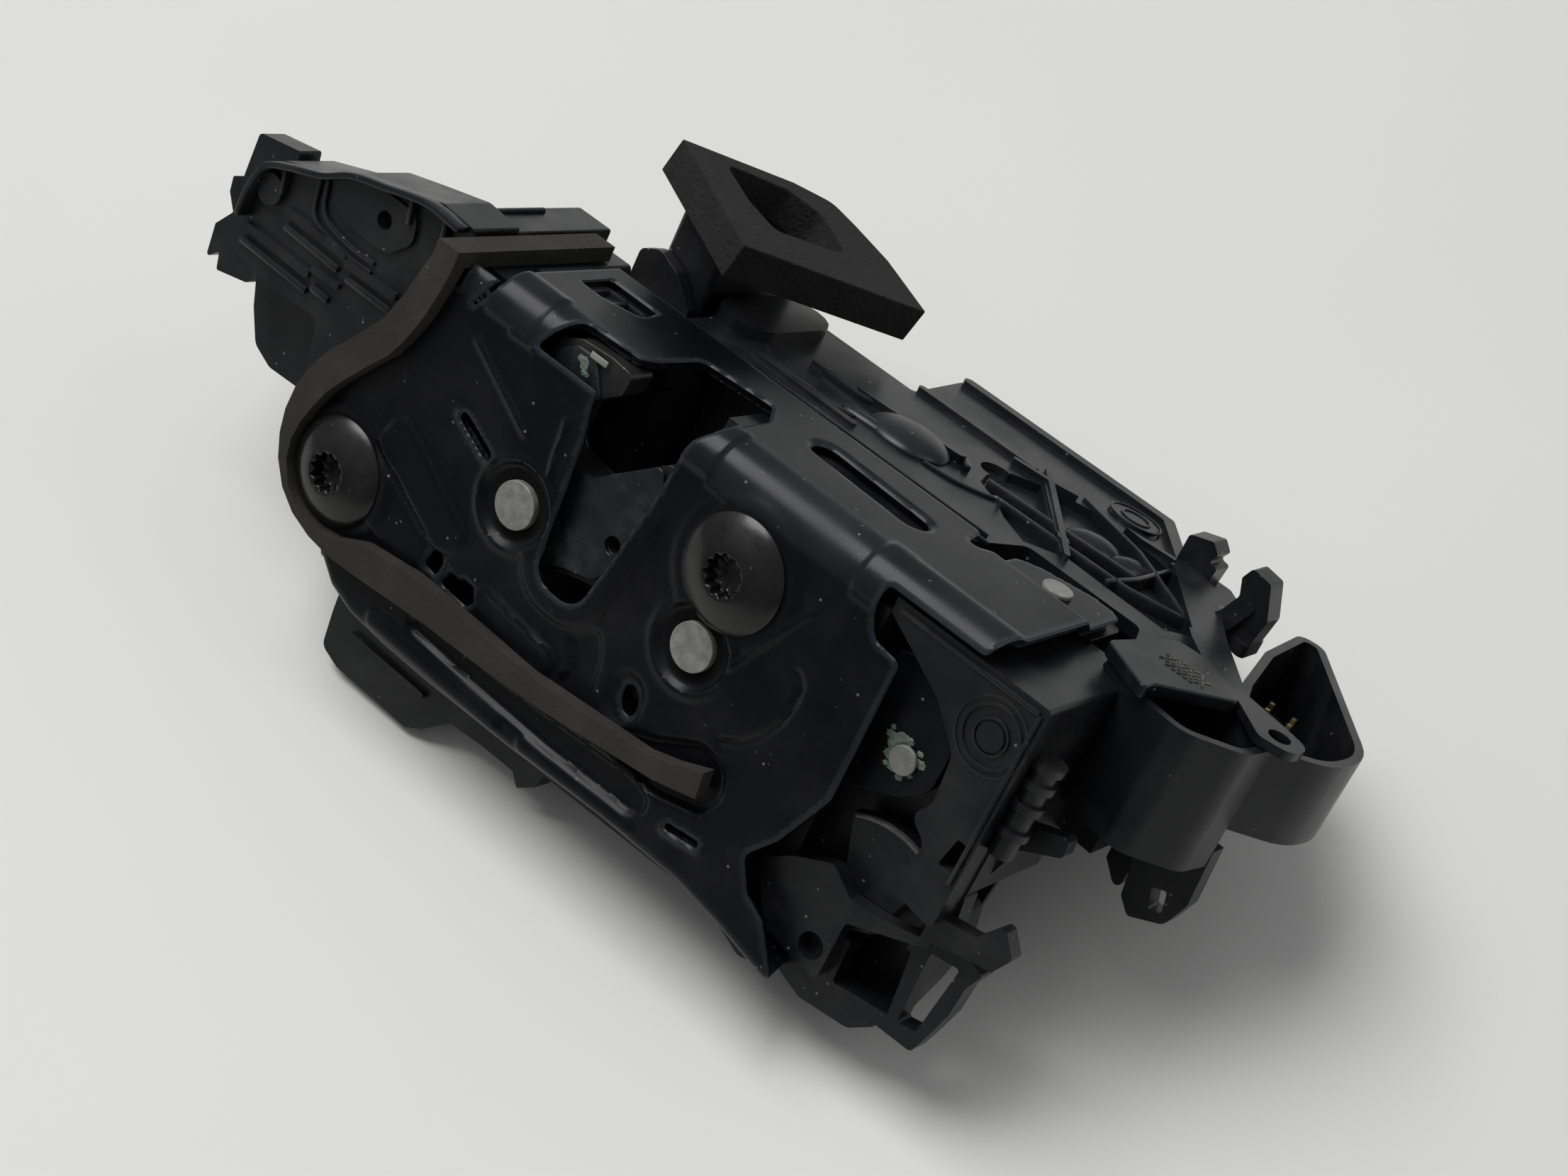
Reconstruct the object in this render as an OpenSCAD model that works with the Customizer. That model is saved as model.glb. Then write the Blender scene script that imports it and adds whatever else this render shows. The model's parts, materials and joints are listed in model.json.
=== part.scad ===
// Car door lock: a rotary latch behind a folded steel plate, with its actuator and connector housing.
// X runs along the plate towards the connectors, Y towards the folded flange, Z out of the plate.
// The origin is midway between the two door screws, on the outer face of the plate.

/* [Face plate] */
// Thickness of the folded steel
plate_t = 2; // [1.6:0.1:2.4]
// Height of the flange's outer face above the screws' midpoint
flange_y = 33.5; // [33.5:0.5:36]
// Depth of the flange behind the outer face
flange_depth = 31.5; // [30:0.5:34]
// Outer radius of the fold
bend_r = 6.5; // [5:0.5:7]
// Height of the stamped stiffening ribs
rib_h = 0.8; // [0.4:0.1:1.2]
// Half the width of the throat that the striker enters
throat_r = 7; // [6:0.5:7.5]
// Middle of the throat along the plate
throat_x = 12; // [11:0.5:13]

/* [Door screws] */
// Distance of each door screw from the origin along X
screw_x = 40; // [39:0.5:41]
// Distance of each door screw from the origin along Y
screw_y = 16; // [15:0.5:17]
// Radius of the screw's domed head
head_r = 10; // [8:0.5:10.5]
// Height of the domed head
head_h = 4.2; // [3:0.2:5]
// Radius of the screw's shank
shank_r = 4; // [3:0.5:4.5]
// Length of the shank below the head
shank_len = 18; // [12:1:22]
// Radius of the socket in the head
socket_r = 3.6; // [2.5:0.1:4]

/* [Pivots] */
// Place of the catch's pivot along X
catch_x = -3.5; // [-4:0.5:-3]
// Place of the catch's pivot along Y
catch_y = 0.5; // [0:0.5:1]
// Place of the pawl's pivot along X
pawl_x = 38.5; // [38:0.5:39.5]
// Place of the pawl's pivot along Y
pawl_y = 0.5; // [0:0.5:1]
// Radius of both pivot rivets
rivet_r = 4.3; // [3.5:0.1:4.6]
// Running clearance of every hinge, on the radius
run_gap = 0.05; // [0.02:0.01:0.09]

/* [Latch] */
// Thickness of the steel catch and pawl
core_t = 6; // [5:0.5:7]
// Thickness of the plastic skin over the catch
skin_t = 0.9; // [0.6:0.1:1.2]
// Space between the face plate and the catch
face_gap = 1.2; // [0.6:0.1:2]
// Space between the catch and the backing plate
back_gap = 0.6; // [0.4:0.1:1]
// Thickness of the backing plate
back_t = 1.6; // [1.2:0.1:2.4]
// Radius from the catch's pivot to the middle of the striker
striker_r = 16.5; // [16:0.5:17]
// Radius of the catch's outer sweep
sweep_r = 31.8; // [31:0.2:32]

/* [Housings] */
// Wall of the mouldings
wall = 2.4; // [1.8:0.2:3]
// Gap between parts that move past each other
air = 0.4; // [0.3:0.1:0.6]
// Level of the side cover's outer face
deck_y = 31; // [30:0.5:31]
// Thickness of the side cover's floor
cover_t = 2.4; // [1.8:0.2:3]
// Depth of the side housing behind the face plate
side_depth = 91; // [88:1:94]
// Level of the side housing's underside
side_base = 0; // [-2:0.5:1]
// Level of the ear's front face behind the face plate
ear_drop = 6; // [5:0.5:7]
// Thickness of the ear
ear_t = 12; // [10:0.5:13]

/* [Foam] */
// Width of the foam strip
strip_w = 5; // [4:0.5:6]
// Thickness of the foam strip
strip_t = 3; // [2:0.5:4]
// Thickness of the foam ring
ring_t = 7.2; // [5:0.2:9]

/* [Connectors] */
// Wall of the connector funnels
funnel_wall = 1.6; // [1.2:0.1:2.2]
// Depth of the connector funnels
funnel_depth = 19; // [16:1:22]
// Radius of the screw hole in the strap's lug
lug_hole_r = 2; // [1.5:0.1:2.2]
// Thickness of the strap
strap_t = 1.6; // [1.2:0.1:2]

/* [Levers] */
// Place of the release lever's pin along X
lever_x = 78.5; // [78:0.5:79.5]
// Place of the release lever's pin along Y
lever_y = 6; // [5.5:0.5:6.5]
// Radius of the release lever's pin
lever_pin_r = 2; // [1.6:0.1:2.4]
// Thickness of both levers
lever_t = 2.4; // [2:0.1:2.6]

/* [Drive] */
// Radius of the motor's can
motor_r = 9; // [8:0.5:9.5]
// Length of the motor's can
motor_len = 15; // [13:1:16]
// Tooth module of the gears
tooth_m = 0.8; // [0.7:0.05:0.85]
// Teeth on the motor's pinion
pinion_teeth = 12; // [12:4:16]
// Teeth on the wheel
wheel_teeth = 40; // [36:1:42]
// Thickness of the gears
gear_t = 4; // [3:0.5:5]

/* [Hidden] */
$fn = 48;

steel = [0.09, 0.09, 0.10];
zinc = [0.62, 0.63, 0.64];
plastic = [0.07, 0.07, 0.08];
grey_plastic = [0.16, 0.16, 0.18];
grease = [0.35, 0.42, 0.38];
foam = [0.17, 0.16, 0.15];

// Levels of the latch's layers behind the face plate
cover_top = -plate_t - face_gap;
core_top = cover_top - skin_t;
core_base = core_top - core_t;
cover_base = core_base - skin_t;
back_top = cover_base - back_gap;
back_base = back_top - back_t;
tray_base = back_base - wall - 1;
front_depth = flange_depth - 1;
bend_y = flange_y - bend_r;
seat_gap = 0.2;
ear_front = -ear_drop;
ear_back = ear_front - ear_t;

// Round corners of an outline: each point is [x, y, corner radius].
// A radius is cut down where the edges beside it are too short for it.
function unit(v) = v / norm(v);
function arc_corner(a, p, b, wish, n) =
    let (u = unit(a - p), v = unit(b - p))
    norm(u + v) < 0.02 ? [p] :
    let (half = acos(max(-1, min(1, u * v))) / 2)
    let (reach = min(wish / tan(half), 0.46 * norm(a - p), 0.46 * norm(b - p)), r = reach * tan(half))
    let (c = p + unit(u + v) * (r / sin(half)))
    let (s = p + u * reach - c, e = p + v * reach - c)
    let (start = atan2(s.y, s.x), turn = (atan2(e.y, e.x) - start + 540) % 360 - 180)
    [for (i = [0:n]) c + r * [cos(start + turn * i / n), sin(start + turn * i / n)]];
function outline(spec, n = 5) =
    let (m = len(spec))
    [for (i = [0:m - 1])
        let (p = [spec[i].x, spec[i].y])
        let (a = [spec[(i + m - 1) % m].x, spec[(i + m - 1) % m].y])
        let (b = [spec[(i + 1) % m].x, spec[(i + 1) % m].y])
        each (spec[i][2] > 0 ? arc_corner(a, p, b, spec[i][2], n) : [p])];
function turned(points, a) =
    [for (p = points) [p.x * cos(a) - p.y * sin(a), p.x * sin(a) + p.y * cos(a), p[2]]];

// Direction to the left of a line of points at one of them
function side_normal(path, i) =
    let (m = len(path) - 1)
    let (a = i == 0 ? path[1] - path[0] : unit(path[i] - path[i - 1]))
    let (b = i == m ? path[m] - path[m - 1] : unit(path[min(i + 1, m)] - path[i]))
    let (t = unit(unit(a) + unit(b)))
    [-t.y, t.x] / max(0.6, t * unit(b));

module slab(spec, z0, z1) translate([0, 0, z0]) linear_extrude(z1 - z0) polygon(outline(spec));
module plain_slab(points, z0, z1) translate([0, 0, z0]) linear_extrude(z1 - z0) polygon(points);
// A slab whose outline is in X and Z, standing between two levels of Y
module deck_slab(spec, y0, y1) translate([0, y1, 0]) rotate([90, 0, 0]) linear_extrude(y1 - y0)
    polygon(outline(spec));
module block(lo, hi) translate(lo) cube(hi - lo);
module post(x, y, r, z0, z1) translate([x, y, z0]) cylinder(r = r, h = z1 - z0);
module stud_y(x, z, r, y0, y1) translate([x, y1, z]) rotate([90, 0, 0]) cylinder(r = r, h = y1 - y0);
// A raised rib with round ends from a to b, as one outline
function half_round(c, r, start, n = 8) = [for (i = [0:n]) c + r * [cos(start + 180 * i / n),
    sin(start + 180 * i / n)]];
module bead(a, b, w, z0, z1) {
    dir = atan2(b.y - a.y, b.x - a.x);
    plain_slab(concat(half_round(b, w / 2, dir - 90), half_round(a, w / 2, dir + 90)), z0, z1);
}
// The same rib on a face that looks along Y
module deck_bead(a, b, w, y0, y1) translate([0, y1, 0]) rotate([90, 0, 0]) bead(a, b, w, 0, y1 - y0);

// Outer edge of the foam strip, from the shoulder round the left screw to its end
strip_out = [[-36.4, flange_y - 3.5], [-37.4, 26.5], [-38.8, 21], [-41.2, 14.5], [-45.5, 8.4], [-49.3, 3.6],
    [-52, -1.3], [-53.6, -6], [-54, -11.5], [-53.3, -16], [-51.6, -20.3], [-48.4, -24.4], [-44.2, -27.2],
    [-39, -28.8],
    [-33, -29.4], [-22.9, -28.6], [-9, -27.2], [7, -26.4], [19, -25.3], [31.7, -23.5], [44, -21.7],
    [52.6, -19.3]];
strip_in = [[52, -14.4], [46, -17], [40.4, -18.8], [28.6, -20.1], [16.6, -21.3], [0, -21.4], [-15.6, -21.3],
    [-28, -23.2], [-34, -26], [-38.5, -26.6], [-43.6, -25.8], [-47.4, -23.3], [-49.8, -19.2],
    [-50.4, -15.6], [-49.8, -11.6],
    [-48.6, -8], [-47, -4], [-44.3, 0.2], [-40.9, 4.9], [-37.4, 9.3], [-35.6, 12.8], [-34, 17],
    [-33, 20.5], [-32, 25.5],
    [-31.4, flange_y - 3.5]];
left_run = [for (i = [0:13]) strip_out[i]];
function moved_in(path, d) = [for (i = [0:len(path) - 1]) path[i] + side_normal(path, i) * d];

// Outlines of the face plate
plate_left = -24;
mouth_left = -12;
mouth_right = 25;
flange_right = 86;
cut_x = 64.5;
skirt_h = 5;
plate_low = [[-37, -33], [-33, -36.3], [-27, -38.2], [-18, -38.8], [-6, -38.8], [14, -38], [36, -36.6],
    [54, -36.4],
    [64, -37.6], [75, -39.8]];
roll = 1.6;
// A strip along the plate's lower edge, a little shorter than the edge itself
function low_strip(y0, y1) =
    let (m = len(plate_low) - 1)
    let (run = [for (i = [0:m]) plate_low[i] + (i == 0 ? [0.8, -0.66] : i == m ? [-0.3, 0.06] : [0, 0])])
    concat([for (p = run) p + [0, y0]], [for (i = [m:-1:0]) run[i] + [0, y1]]);
plate_edge = concat(
    [for (p = plate_low) [p.x, p.y + roll, 0]],
    [[77, -37, 2], [71.5, -31, 3], [67, -29, 3], [63.3, -23.5, 2], [67.5, -17.5, 2], [72.5, -5.5, 4],
    [72.3, 20.8, 1.5], [66.5, 21.5, 2.5], [cut_x, 25, 2], [cut_x, bend_y + 0.01, 0],
    [-31, bend_y + 0.01, 0], [-33.5, bend_y, 0]],
    [for (p = moved_in([for (i = [1:13]) strip_out[i]], 2.4)) [p.x, p.y, 0]]);
throat_low = -8.5;
throat_edge = [[throat_x - throat_r - 2.6, bend_y + 1, 0], [throat_x - throat_r - 2.6, 24, 0],
    [throat_x - throat_r - 1.4, 18, 0], [throat_x - throat_r, 1, 3],
    [throat_x - throat_r + 0.5, throat_low + 1, 5.5], [throat_x + throat_r - 1.5, throat_low + 1, 4.5],
    [throat_x + throat_r, 4, 5], [throat_x + throat_r + 1.2, 14, 0],
    [throat_x + throat_r + 3, bend_y + 1, 0]];
// Room for the hook in the fold and the flange, seen from above
mouth_edge = [[mouth_left, 1, 0], [mouth_right - 3, 1, 0], [mouth_right - 2.6, -0.6, 1],
    [mouth_right - 0.8, -2.4, 2],
    [mouth_right, -5, 2], [mouth_right - 0.3, -16.5, 1.5], [20.8, -22.5, 1.5],
    [6.2, -20.5, 2], [5.3, -9, 2], [3.8, -6, 1], [mouth_left + 4, -5.2, 3]];

module fold(x0, x1) translate([x0, bend_y, -bend_r]) rotate([90, 0, 90])
    difference() {
        cylinder(r = bend_r, h = x1 - x0);
        translate([0, 0, -1]) cylinder(r = bend_r - plate_t, h = x1 - x0 + 2);
        translate([-2 * bend_r, -2 * bend_r, -1]) cube([2 * bend_r, 4 * bend_r, x1 - x0 + 2]);
        translate([-1, -2 * bend_r, -1]) cube([2 * bend_r, 2 * bend_r, x1 - x0 + 2]);
    }
tongue_drop = 1.6;
slot_mid = [44.7, -20];
slot_run = 9.8;
slot_r = 2.9;
lip_y = 3.2;
rivet_at = [76.5, -flange_depth - 1.5];
tongue_end = flange_depth + 9.5;
ring_r = 7;
pocket_a = [48.5, -20];
pocket_b = [52.5, -15.5];
module stamped_ribs(z0, z1) {
    bead([-23, 20.5], [-7.5, 12.8], 1.6, z0, z1);
    bead([-31.5, 2.5], [-17, -4], 1.6, z0, z1);
    bead([-33, -7.6], [-16, -16.6], 1.6, z0, z1);
    bead([-0.5, 18.5], [0.3, 9.5], 1.6, z0, z1);
    bead([46.5, 2.5], [55.5, 18], 1.4, z0, z1);
    bead([54.5, -7], [58, 6], 1.4, z0, z1);
    bead([-21.5, -33], [0, -33], 2.6, z0, z1);
    bead([14.5, -32], [38.5, -30.5], 2.6, z0, z1);
}
module lock_plate() color(steel) {
    difference() {
        union() {
            slab(plate_edge, -plate_t, 0);
            // Lower edge, rolled back in two steps
            plain_slab(low_strip(roll / 2, roll + 1), -plate_t + 0.2, -0.7);
            plain_slab(low_strip(0, roll + plate_t), -plate_t - skirt_h, -1.6);
            fold(plate_left, cut_x);
            intersection() {
                fold(cut_x - 0.01, flange_right - 2);
                block([cut_x - 1, bend_y + lip_y, -bend_r - 1], [flange_right, flange_y + 1, 1]);
            }
            intersection() {
                fold(-31, plate_left + 0.01);
                block([-32, bend_y - 1, -bend_r - 1], [0, bend_y + 4.4, 1]);
            }
            deck_slab([[plate_left, -bend_r + 0.01, 0], [flange_right, -bend_r + 0.01, 0],
                [flange_right, -25, 0], [flange_right, 2.5 - flange_depth, 1.5],
                [68, 2.5 - flange_depth, 1],
                [62, 8 - flange_depth, 1.5],
                [60.5, -flange_depth, 1.5], [plate_left, -flange_depth, 1]], flange_y - plate_t, flange_y);
            deck_slab([[flange_right, 3.6 - flange_depth, 0], [flange_right, 0.5 - tongue_end, 2.5],
                [80, -tongue_end, 2], [70.5, 3 - tongue_end, 3], [66.5, 6 - tongue_end, 3],
                [66.5, 3.6 - flange_depth, 0]], flange_y - plate_t - tongue_drop, flange_y - tongue_drop);
            stamped_ribs(-0.01, rib_h);
            slab([[throat_x - throat_r - 2.5, 4, 2], [throat_x - throat_r - 2.5, throat_low - 4, 6.5],
                [throat_x + throat_r + 1.5, throat_low - 4, 7], [throat_x + throat_r + 3, 4, 2]],
                -0.01, rib_h);
            post(catch_x, catch_y, ring_r + 1.2, -plate_t - 0.6, -plate_t + 0.01);
            post(pawl_x, pawl_y, ring_r + 1.2, -plate_t - 0.6, -plate_t + 0.01);
        }
        slab(throat_edge, -plate_t - 1, rib_h + 1);
        deck_slab(mouth_edge, bend_y - 0.5, flange_y + 1);
        post(catch_x, catch_y, ring_r, -0.8, 1);
        post(pawl_x, pawl_y, ring_r, -0.8, 1);
        post(catch_x, catch_y, rivet_r, -plate_t - 2, 1);
        post(pawl_x, pawl_y, rivet_r, -plate_t - 2, 1);
        for (side = [-1, 1]) post(side * screw_x, side * screw_y, shank_r, -plate_t - 1, 1);
        bead(pocket_a, pocket_b, 6.4, -0.9, 1);
        bead([-20, 7], [-13, 5], 2.2, -plate_t - 1, 1);
        bead([48.5, -29], [54.5, -28.2], 1.5, -plate_t - 1, 1);
        block([-16, -19.2, -plate_t - 1], [-13, -17.2, 1]);
        block([-7.6, -19.2, -plate_t - 1], [-5.4, -17.2, 1]);
        post(32, -15, 2.2, -plate_t - 1, 1);
        deck_bead(slot_mid - [slot_run, 0.6], slot_mid + [slot_run, -0.6],
            2 * slot_r, flange_y - plate_t - 1,
            flange_y + 1);
        deck_slab([[-19.5, -17, 0.5], [-7.5, -17.5, 0.5], [-8.5, -25, 0.5], [-19.5, -25, 0.5]],
            flange_y - plate_t - 1, flange_y + 1);
        stud_y(rivet_at.x, rivet_at.y, 1.8, flange_y - plate_t - tongue_drop - 1, flange_y + 1);
    }
}

module door_screws() color(steel) for (side = [-1, 1])
    translate([side * screw_x, side * screw_y, 0]) difference() {
        union() {
            cylinder(r = head_r, h = 1.2);
            translate([0, 0, 1.2]) intersection() {
                dome_r = (head_r * head_r + (head_h - 1.2) * (head_h - 1.2)) / (2 * (head_h - 1.2));
                translate([0, 0, head_h - 1.2 - dome_r]) sphere(r = dome_r);
                cylinder(r = head_r, h = head_h);
            }
            translate([0, 0, -shank_len]) cylinder(r = shank_r, h = shank_len + 0.01);
        }
        translate([0, 0, head_h - 3.4]) cylinder(r = socket_r, h = 4);
    }

module pivot_rivet(x, y) color(zinc) {
    post(x, y, rivet_r, back_base - 0.01, 0.2);
    post(x, y, rivet_r + 1.4, back_base - 1.2, back_base);
}
module catch_pivot() pivot_rivet(catch_x, catch_y);
module pawl_pivot() pivot_rivet(pawl_x, pawl_y);

tongue_top = flange_y - tongue_drop;
module flange_rivet() color(zinc) {
    stud_y(rivet_at.x, rivet_at.y, 1.8, tongue_top - plate_t - wall, tongue_top + 0.01);
    stud_y(rivet_at.x, rivet_at.y, 2.7, tongue_top, tongue_top + 0.9);
}

back_edge = [[-30, -16, 4], [-30, -3, 4], [-14, 8.6, 4], [-3, 8.6, 4], [throat_x - throat_r - 0.5, 2, 1],
    [throat_x - throat_r - 0.5, throat_low - 1, 6], [throat_x + throat_r + 0.5, throat_low - 1, 6],
    [throat_x + throat_r + 0.5, 6, 1], [48, 6, 3], [50, -12, 4], [36, -19, 3], [19, -21, 3],
    [-18, -21.5, 4]];

module backing_plate() color(steel) difference() {
    slab(back_edge, back_base, back_top);
    post(catch_x, catch_y, rivet_r, back_base - 1, 0);
    post(pawl_x, pawl_y, rivet_r, back_base - 1, 0);
    for (side = [-1, 1]) post(side * screw_x, side * screw_y, shank_r + air, back_base - 1, 0);
}

// The catch, drawn open about its pivot: the hook is above the slot and the prong below it
slot_dir = 40;
slot_half = 6.2;
seat_dir = 72;
seat = striker_r * [cos(seat_dir), sin(seat_dir)];
along = [cos(slot_dir), sin(slot_dir)];
across = [-sin(slot_dir), cos(slot_dir)];
function flank(s, side) = seat + along * s + across * slot_half * side;
prong_end = 17.6;
hook_end = 9;
core_edge = [[flank(prong_end, -1).x, flank(prong_end, -1).y, 1.2], [flank(0, -1).x, flank(0, -1).y, 0],
    [seat.x - along.x * slot_half, seat.y - along.y * slot_half, 3.5], [flank(0, 1).x, flank(0, 1).y, 0],
    [flank(hook_end, 1).x, flank(hook_end, 1).y, 1.2], [8.6, 30.3, 1.2], [3.5, 30.8, 3], [-3, 30.3, 3],
    [-7.5, 28.3, 2], [-8.2, 22, 3], [-10.5, 11, 5], [-12, 0, 6], [-8, -9.5, 6], [2, -12.5, 6],
    [12, -6.5, 4],
    [19, -4.8, 3], [26, 8, 5], [25.4, 17.5, 2]];
cover_edge = [[flank(prong_end - 1.5, -1).x, flank(prong_end - 1.5, -1).y, 1.5],
    [flank(0, -1).x, flank(0, -1).y, 0],
    [seat.x - along.x * slot_half, seat.y - along.y * slot_half, 3.5], [flank(0, 1).x, flank(0, 1).y, 0],
    [flank(hook_end - 4, 1).x, flank(hook_end - 4, 1).y, 1], [1, 29.4, 1], [-3, 29.2, 1.5], [-6.2, 27.2, 2],
    [-7, 21, 3], [-9.3, 11, 5], [-10.8, 0, 6], [-7.2, -8.5, 6], [2, -11.2, 6], [11, -5.6, 4], [18, -3.8, 3],
    [24.5, 8, 5], [24, 16, 2]];
module catch_core() color([0.30, 0.30, 0.31]) translate([catch_x, catch_y, 0]) difference() {
    slab(core_edge, core_base, core_top);
    translate([0, 0, core_base - 1]) cylinder(r = rivet_r + run_gap, h = core_t + 2);
    translate([18.7, 3.8, core_base - 1]) cylinder(r = 1.6, h = core_t + 2);
}
module catch_cover() color(grey_plastic) translate([catch_x, catch_y, 0]) difference() {
    union() {
        slab(cover_edge, core_top, cover_top);
        slab(cover_edge, cover_base, core_base);
    }
    translate([0, 0, cover_base - 1]) cylinder(r = rivet_r + 1, h = core_t + 4);
    translate([18.7, 3.8, cover_base - 1]) cylinder(r = 1.6, h = core_t + 4);
}

// The pawl, drawn where it holds the closed catch, then turned out of the way
pawl_turn = 26;
nose = [[-16.9, -10.2, 0.8], [-12.4, -12.7, 0.8], [-6, -9.5, 4], [3, -6.6, 3], [7.5, -1, 4], [6, 6.5, 5],
    [-5.5, 5.8, 5], [-16.2, -6, 2]];
module pawl_core() color([0.30, 0.30, 0.31]) translate([pawl_x, pawl_y, 0]) difference() {
    slab(turned(nose, pawl_turn), core_base, core_top);
    translate([0, 0, core_base - 1]) cylinder(r = rivet_r + run_gap, h = core_t + 2);
}
pad_edge = [[-15.2, -10.1, 0.6], [-12.2, -11.6, 0.6], [-7.5, -8.8, 1], [-7, -1, 2], [-14.8, -6.2, 1]];
module pawl_pad() color(grey_plastic) translate([pawl_x, pawl_y, 0])
    slab(turned(pad_edge, pawl_turn), core_top, cover_top);

spring_wire = 0.5;
module coil(x, y, r, z0, turns) for (i = [0:turns - 1])
    translate([x, y, z0 + i * 2.05 * spring_wire]) rotate_extrude()
        translate([r, 0]) circle(r = spring_wire, $fn = 16);
module catch_spring() color(zinc) {
    coil(catch_x, catch_y, rivet_r + 1.4 + 3 * spring_wire, back_base - 1.9, 1);
}
module pawl_spring() color(zinc) {
    coil(pawl_x, pawl_y, rivet_r + 1.4 + 3 * spring_wire, back_base - 1.9, 1);
}

buffer_depth = 6;
module striker_buffer() color([0.05, 0.05, 0.05]) slab(
    [[throat_x - throat_r + 1.2, throat_low - 0.6, 1.2], [throat_x + throat_r - 2.2, throat_low - 0.6, 1.2],
    [throat_x + throat_r - 1.8, throat_low + 2.6, 0.6], [throat_x - throat_r + 0.8, throat_low + 2.6, 0.6]],
    back_base - wall - buffer_depth, back_base - wall);

// Moulded tray behind the face plate. The ear and the lever bay are joined to it as one moulding.
tray_top = -plate_t - seat_gap;
shoulder_y = flange_y - 3.5;
foam_seat = shoulder_y - 0.2;
tray_edge = concat([for (p = moved_in(left_run, 0.3)) [p.x, p.y, 0]],
    [[-35.6, -29.6, 1], [-33, -32.2, 1], [-26, -34, 2], [-12, -34.4, 3], [14, -33.6, 3], [36, -32.2, 3],
    [54, -32, 3], [62, -33, 3],
    [62, -22, 2], [66, -16, 2], [66, bend_y - 0.6, 0], [-31.4, bend_y - 0.6, 0], [-31.4, foam_seat, 0]]);

pocket_edge = [[-34, -19, 6], [-20, -25, 6], [14, -28, 4], [34, -22, 4], [56, -16, 4], [57, 20, 4],
    [46, 7.6, 2], [33.5, 7.6, 3], [30, 14, 3], [27, 24, 3], [12, bend_y + 0.4, 2],
    [-16, bend_y + 0.4, 3], [-20, 14, 4],
    [-36, 3, 5]];
ear_edge = [[-31.5, foam_seat, 0], [-37, foam_seat, 0], [-37, 34, 0.5], [-45, 34.6, 3], [-56, 32, 4],
    [-64, 30, 4], [-70, 26.5, 4], [-82, 22.6, 3], [-86.5, 14, 3], [-89, 8, 3], [-87.6, 2.4, 2],
    [-76, 1, 3], [-62, 1.6, 2], [-60, -8, 3],
    [-58, -22, 3], [-49, -30, 3], [-40, -30, 0], [-48, -8, 0], [-42, 8, 0]];
ear_hole = [-55, 25.6];
module ear_form() {
    slab(ear_edge, ear_back, ear_front);
    // Oval pad and long ribs
    slab([[-68, 23, 3], [-63, 20.5, 3], [-52, 20.5, 4], [-47.5, 25, 3], [-48.5, 30.2, 3], [-57, 30.2, 4],
        [-67, 27.5, 3]],
        ear_front - 1, ear_front + 0.8);
    bead([-76, 15.4], [-61, 15.2], 1.6, ear_front - 0.01, ear_front + 0.8);
    bead([-59.5, 14.4], [-47.5, 14.8], 1.6, ear_front - 0.01, ear_front + 0.8);
    bead([-84, 8], [-67.5, 7.8], 1.6, ear_front - 0.01, ear_front + 0.8);
    bead([-66, 9.3], [-60, 9.6], 1.4, ear_front - 0.01, ear_front + 0.8);
    // Tip post and clips at the far end
    slab([[-86, 12, 1], [-83.5, 20, 1], [-84, 23.2, 0.5], [-94.4, 21.4, 1], [-94.6, 12.5, 1],
        [-92, 6, 2]], ear_back + 0.5,
        ear_front - 6);
    post(-81.5, 17, 3, ear_front - 0.01, ear_front + 1.2);
    slab([[-98.8, 10, 0.5], [-98.4, 7, 1], [-96, 4, 1], [-88, 4, 0], [-88, 12, 0], [-95, 12, 1]],
        ear_back + 1,
        ear_back + 4);
    slab([[-100, -0.7, 0.5], [-99.5, -7.6, 0.5], [-96.8, -5, 0.3], [-96, -8.4, 0.5], [-87.7, -6.5, 1],
        [-86, 3, 0],
        [-96, 4.5, 1]], ear_back, ear_back + 3);
    // Round block under the ear's lower edge
    slab([[-86, -2, 2], [-83.5, -9, 3], [-80, -15, 3], [-75, -17, 3], [-66, -16.5, 2], [-60, -12, 0],
        [-60, 2, 0],
        [-84, 3, 0]], ear_back - 1, ear_back + 4);
    // Shoulder beside the flange, which carries the end of the foam
    slab([[-46, 20, 0], [-46, 33.2, 1], [-37, 33.2, 0.5], [-37, foam_seat, 0], [-25.4, foam_seat, 1],
        [-25.4, 20, 0]],
        side_front, ear_front - 1);
    slab([[-46, 20, 2], [-46, 33.2, 1], [-37, 33.2, 0.5], [-37, foam_seat, 0], [-29.6, foam_seat, 1],
        [-29.6, 20, 0]],
        -44, side_front + 0.01);
    bead([-44, 30.5], [-44, 33.4], 1.2, ear_back - 14, ear_back + 9);
}

ear_room = [[-50, 30, 2], [-56, 29, 3], [-66, 25, 4], [-78, 20, 3], [-84, 8, 3], [-76, 4, 3], [-60, 4, 3],
    [-56, -20, 3], [-52, -20, 2], [-50, 0, 2]];
module housing_ear() color(plastic) difference() {
    ear_form();
    post(ear_hole.x, ear_hole.y, 1.7, ear_back - 1, 1);
    slab(ear_room, ear_back - 2, ear_front - wall);
    latch_tray();
    deep_outside();
}

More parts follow.
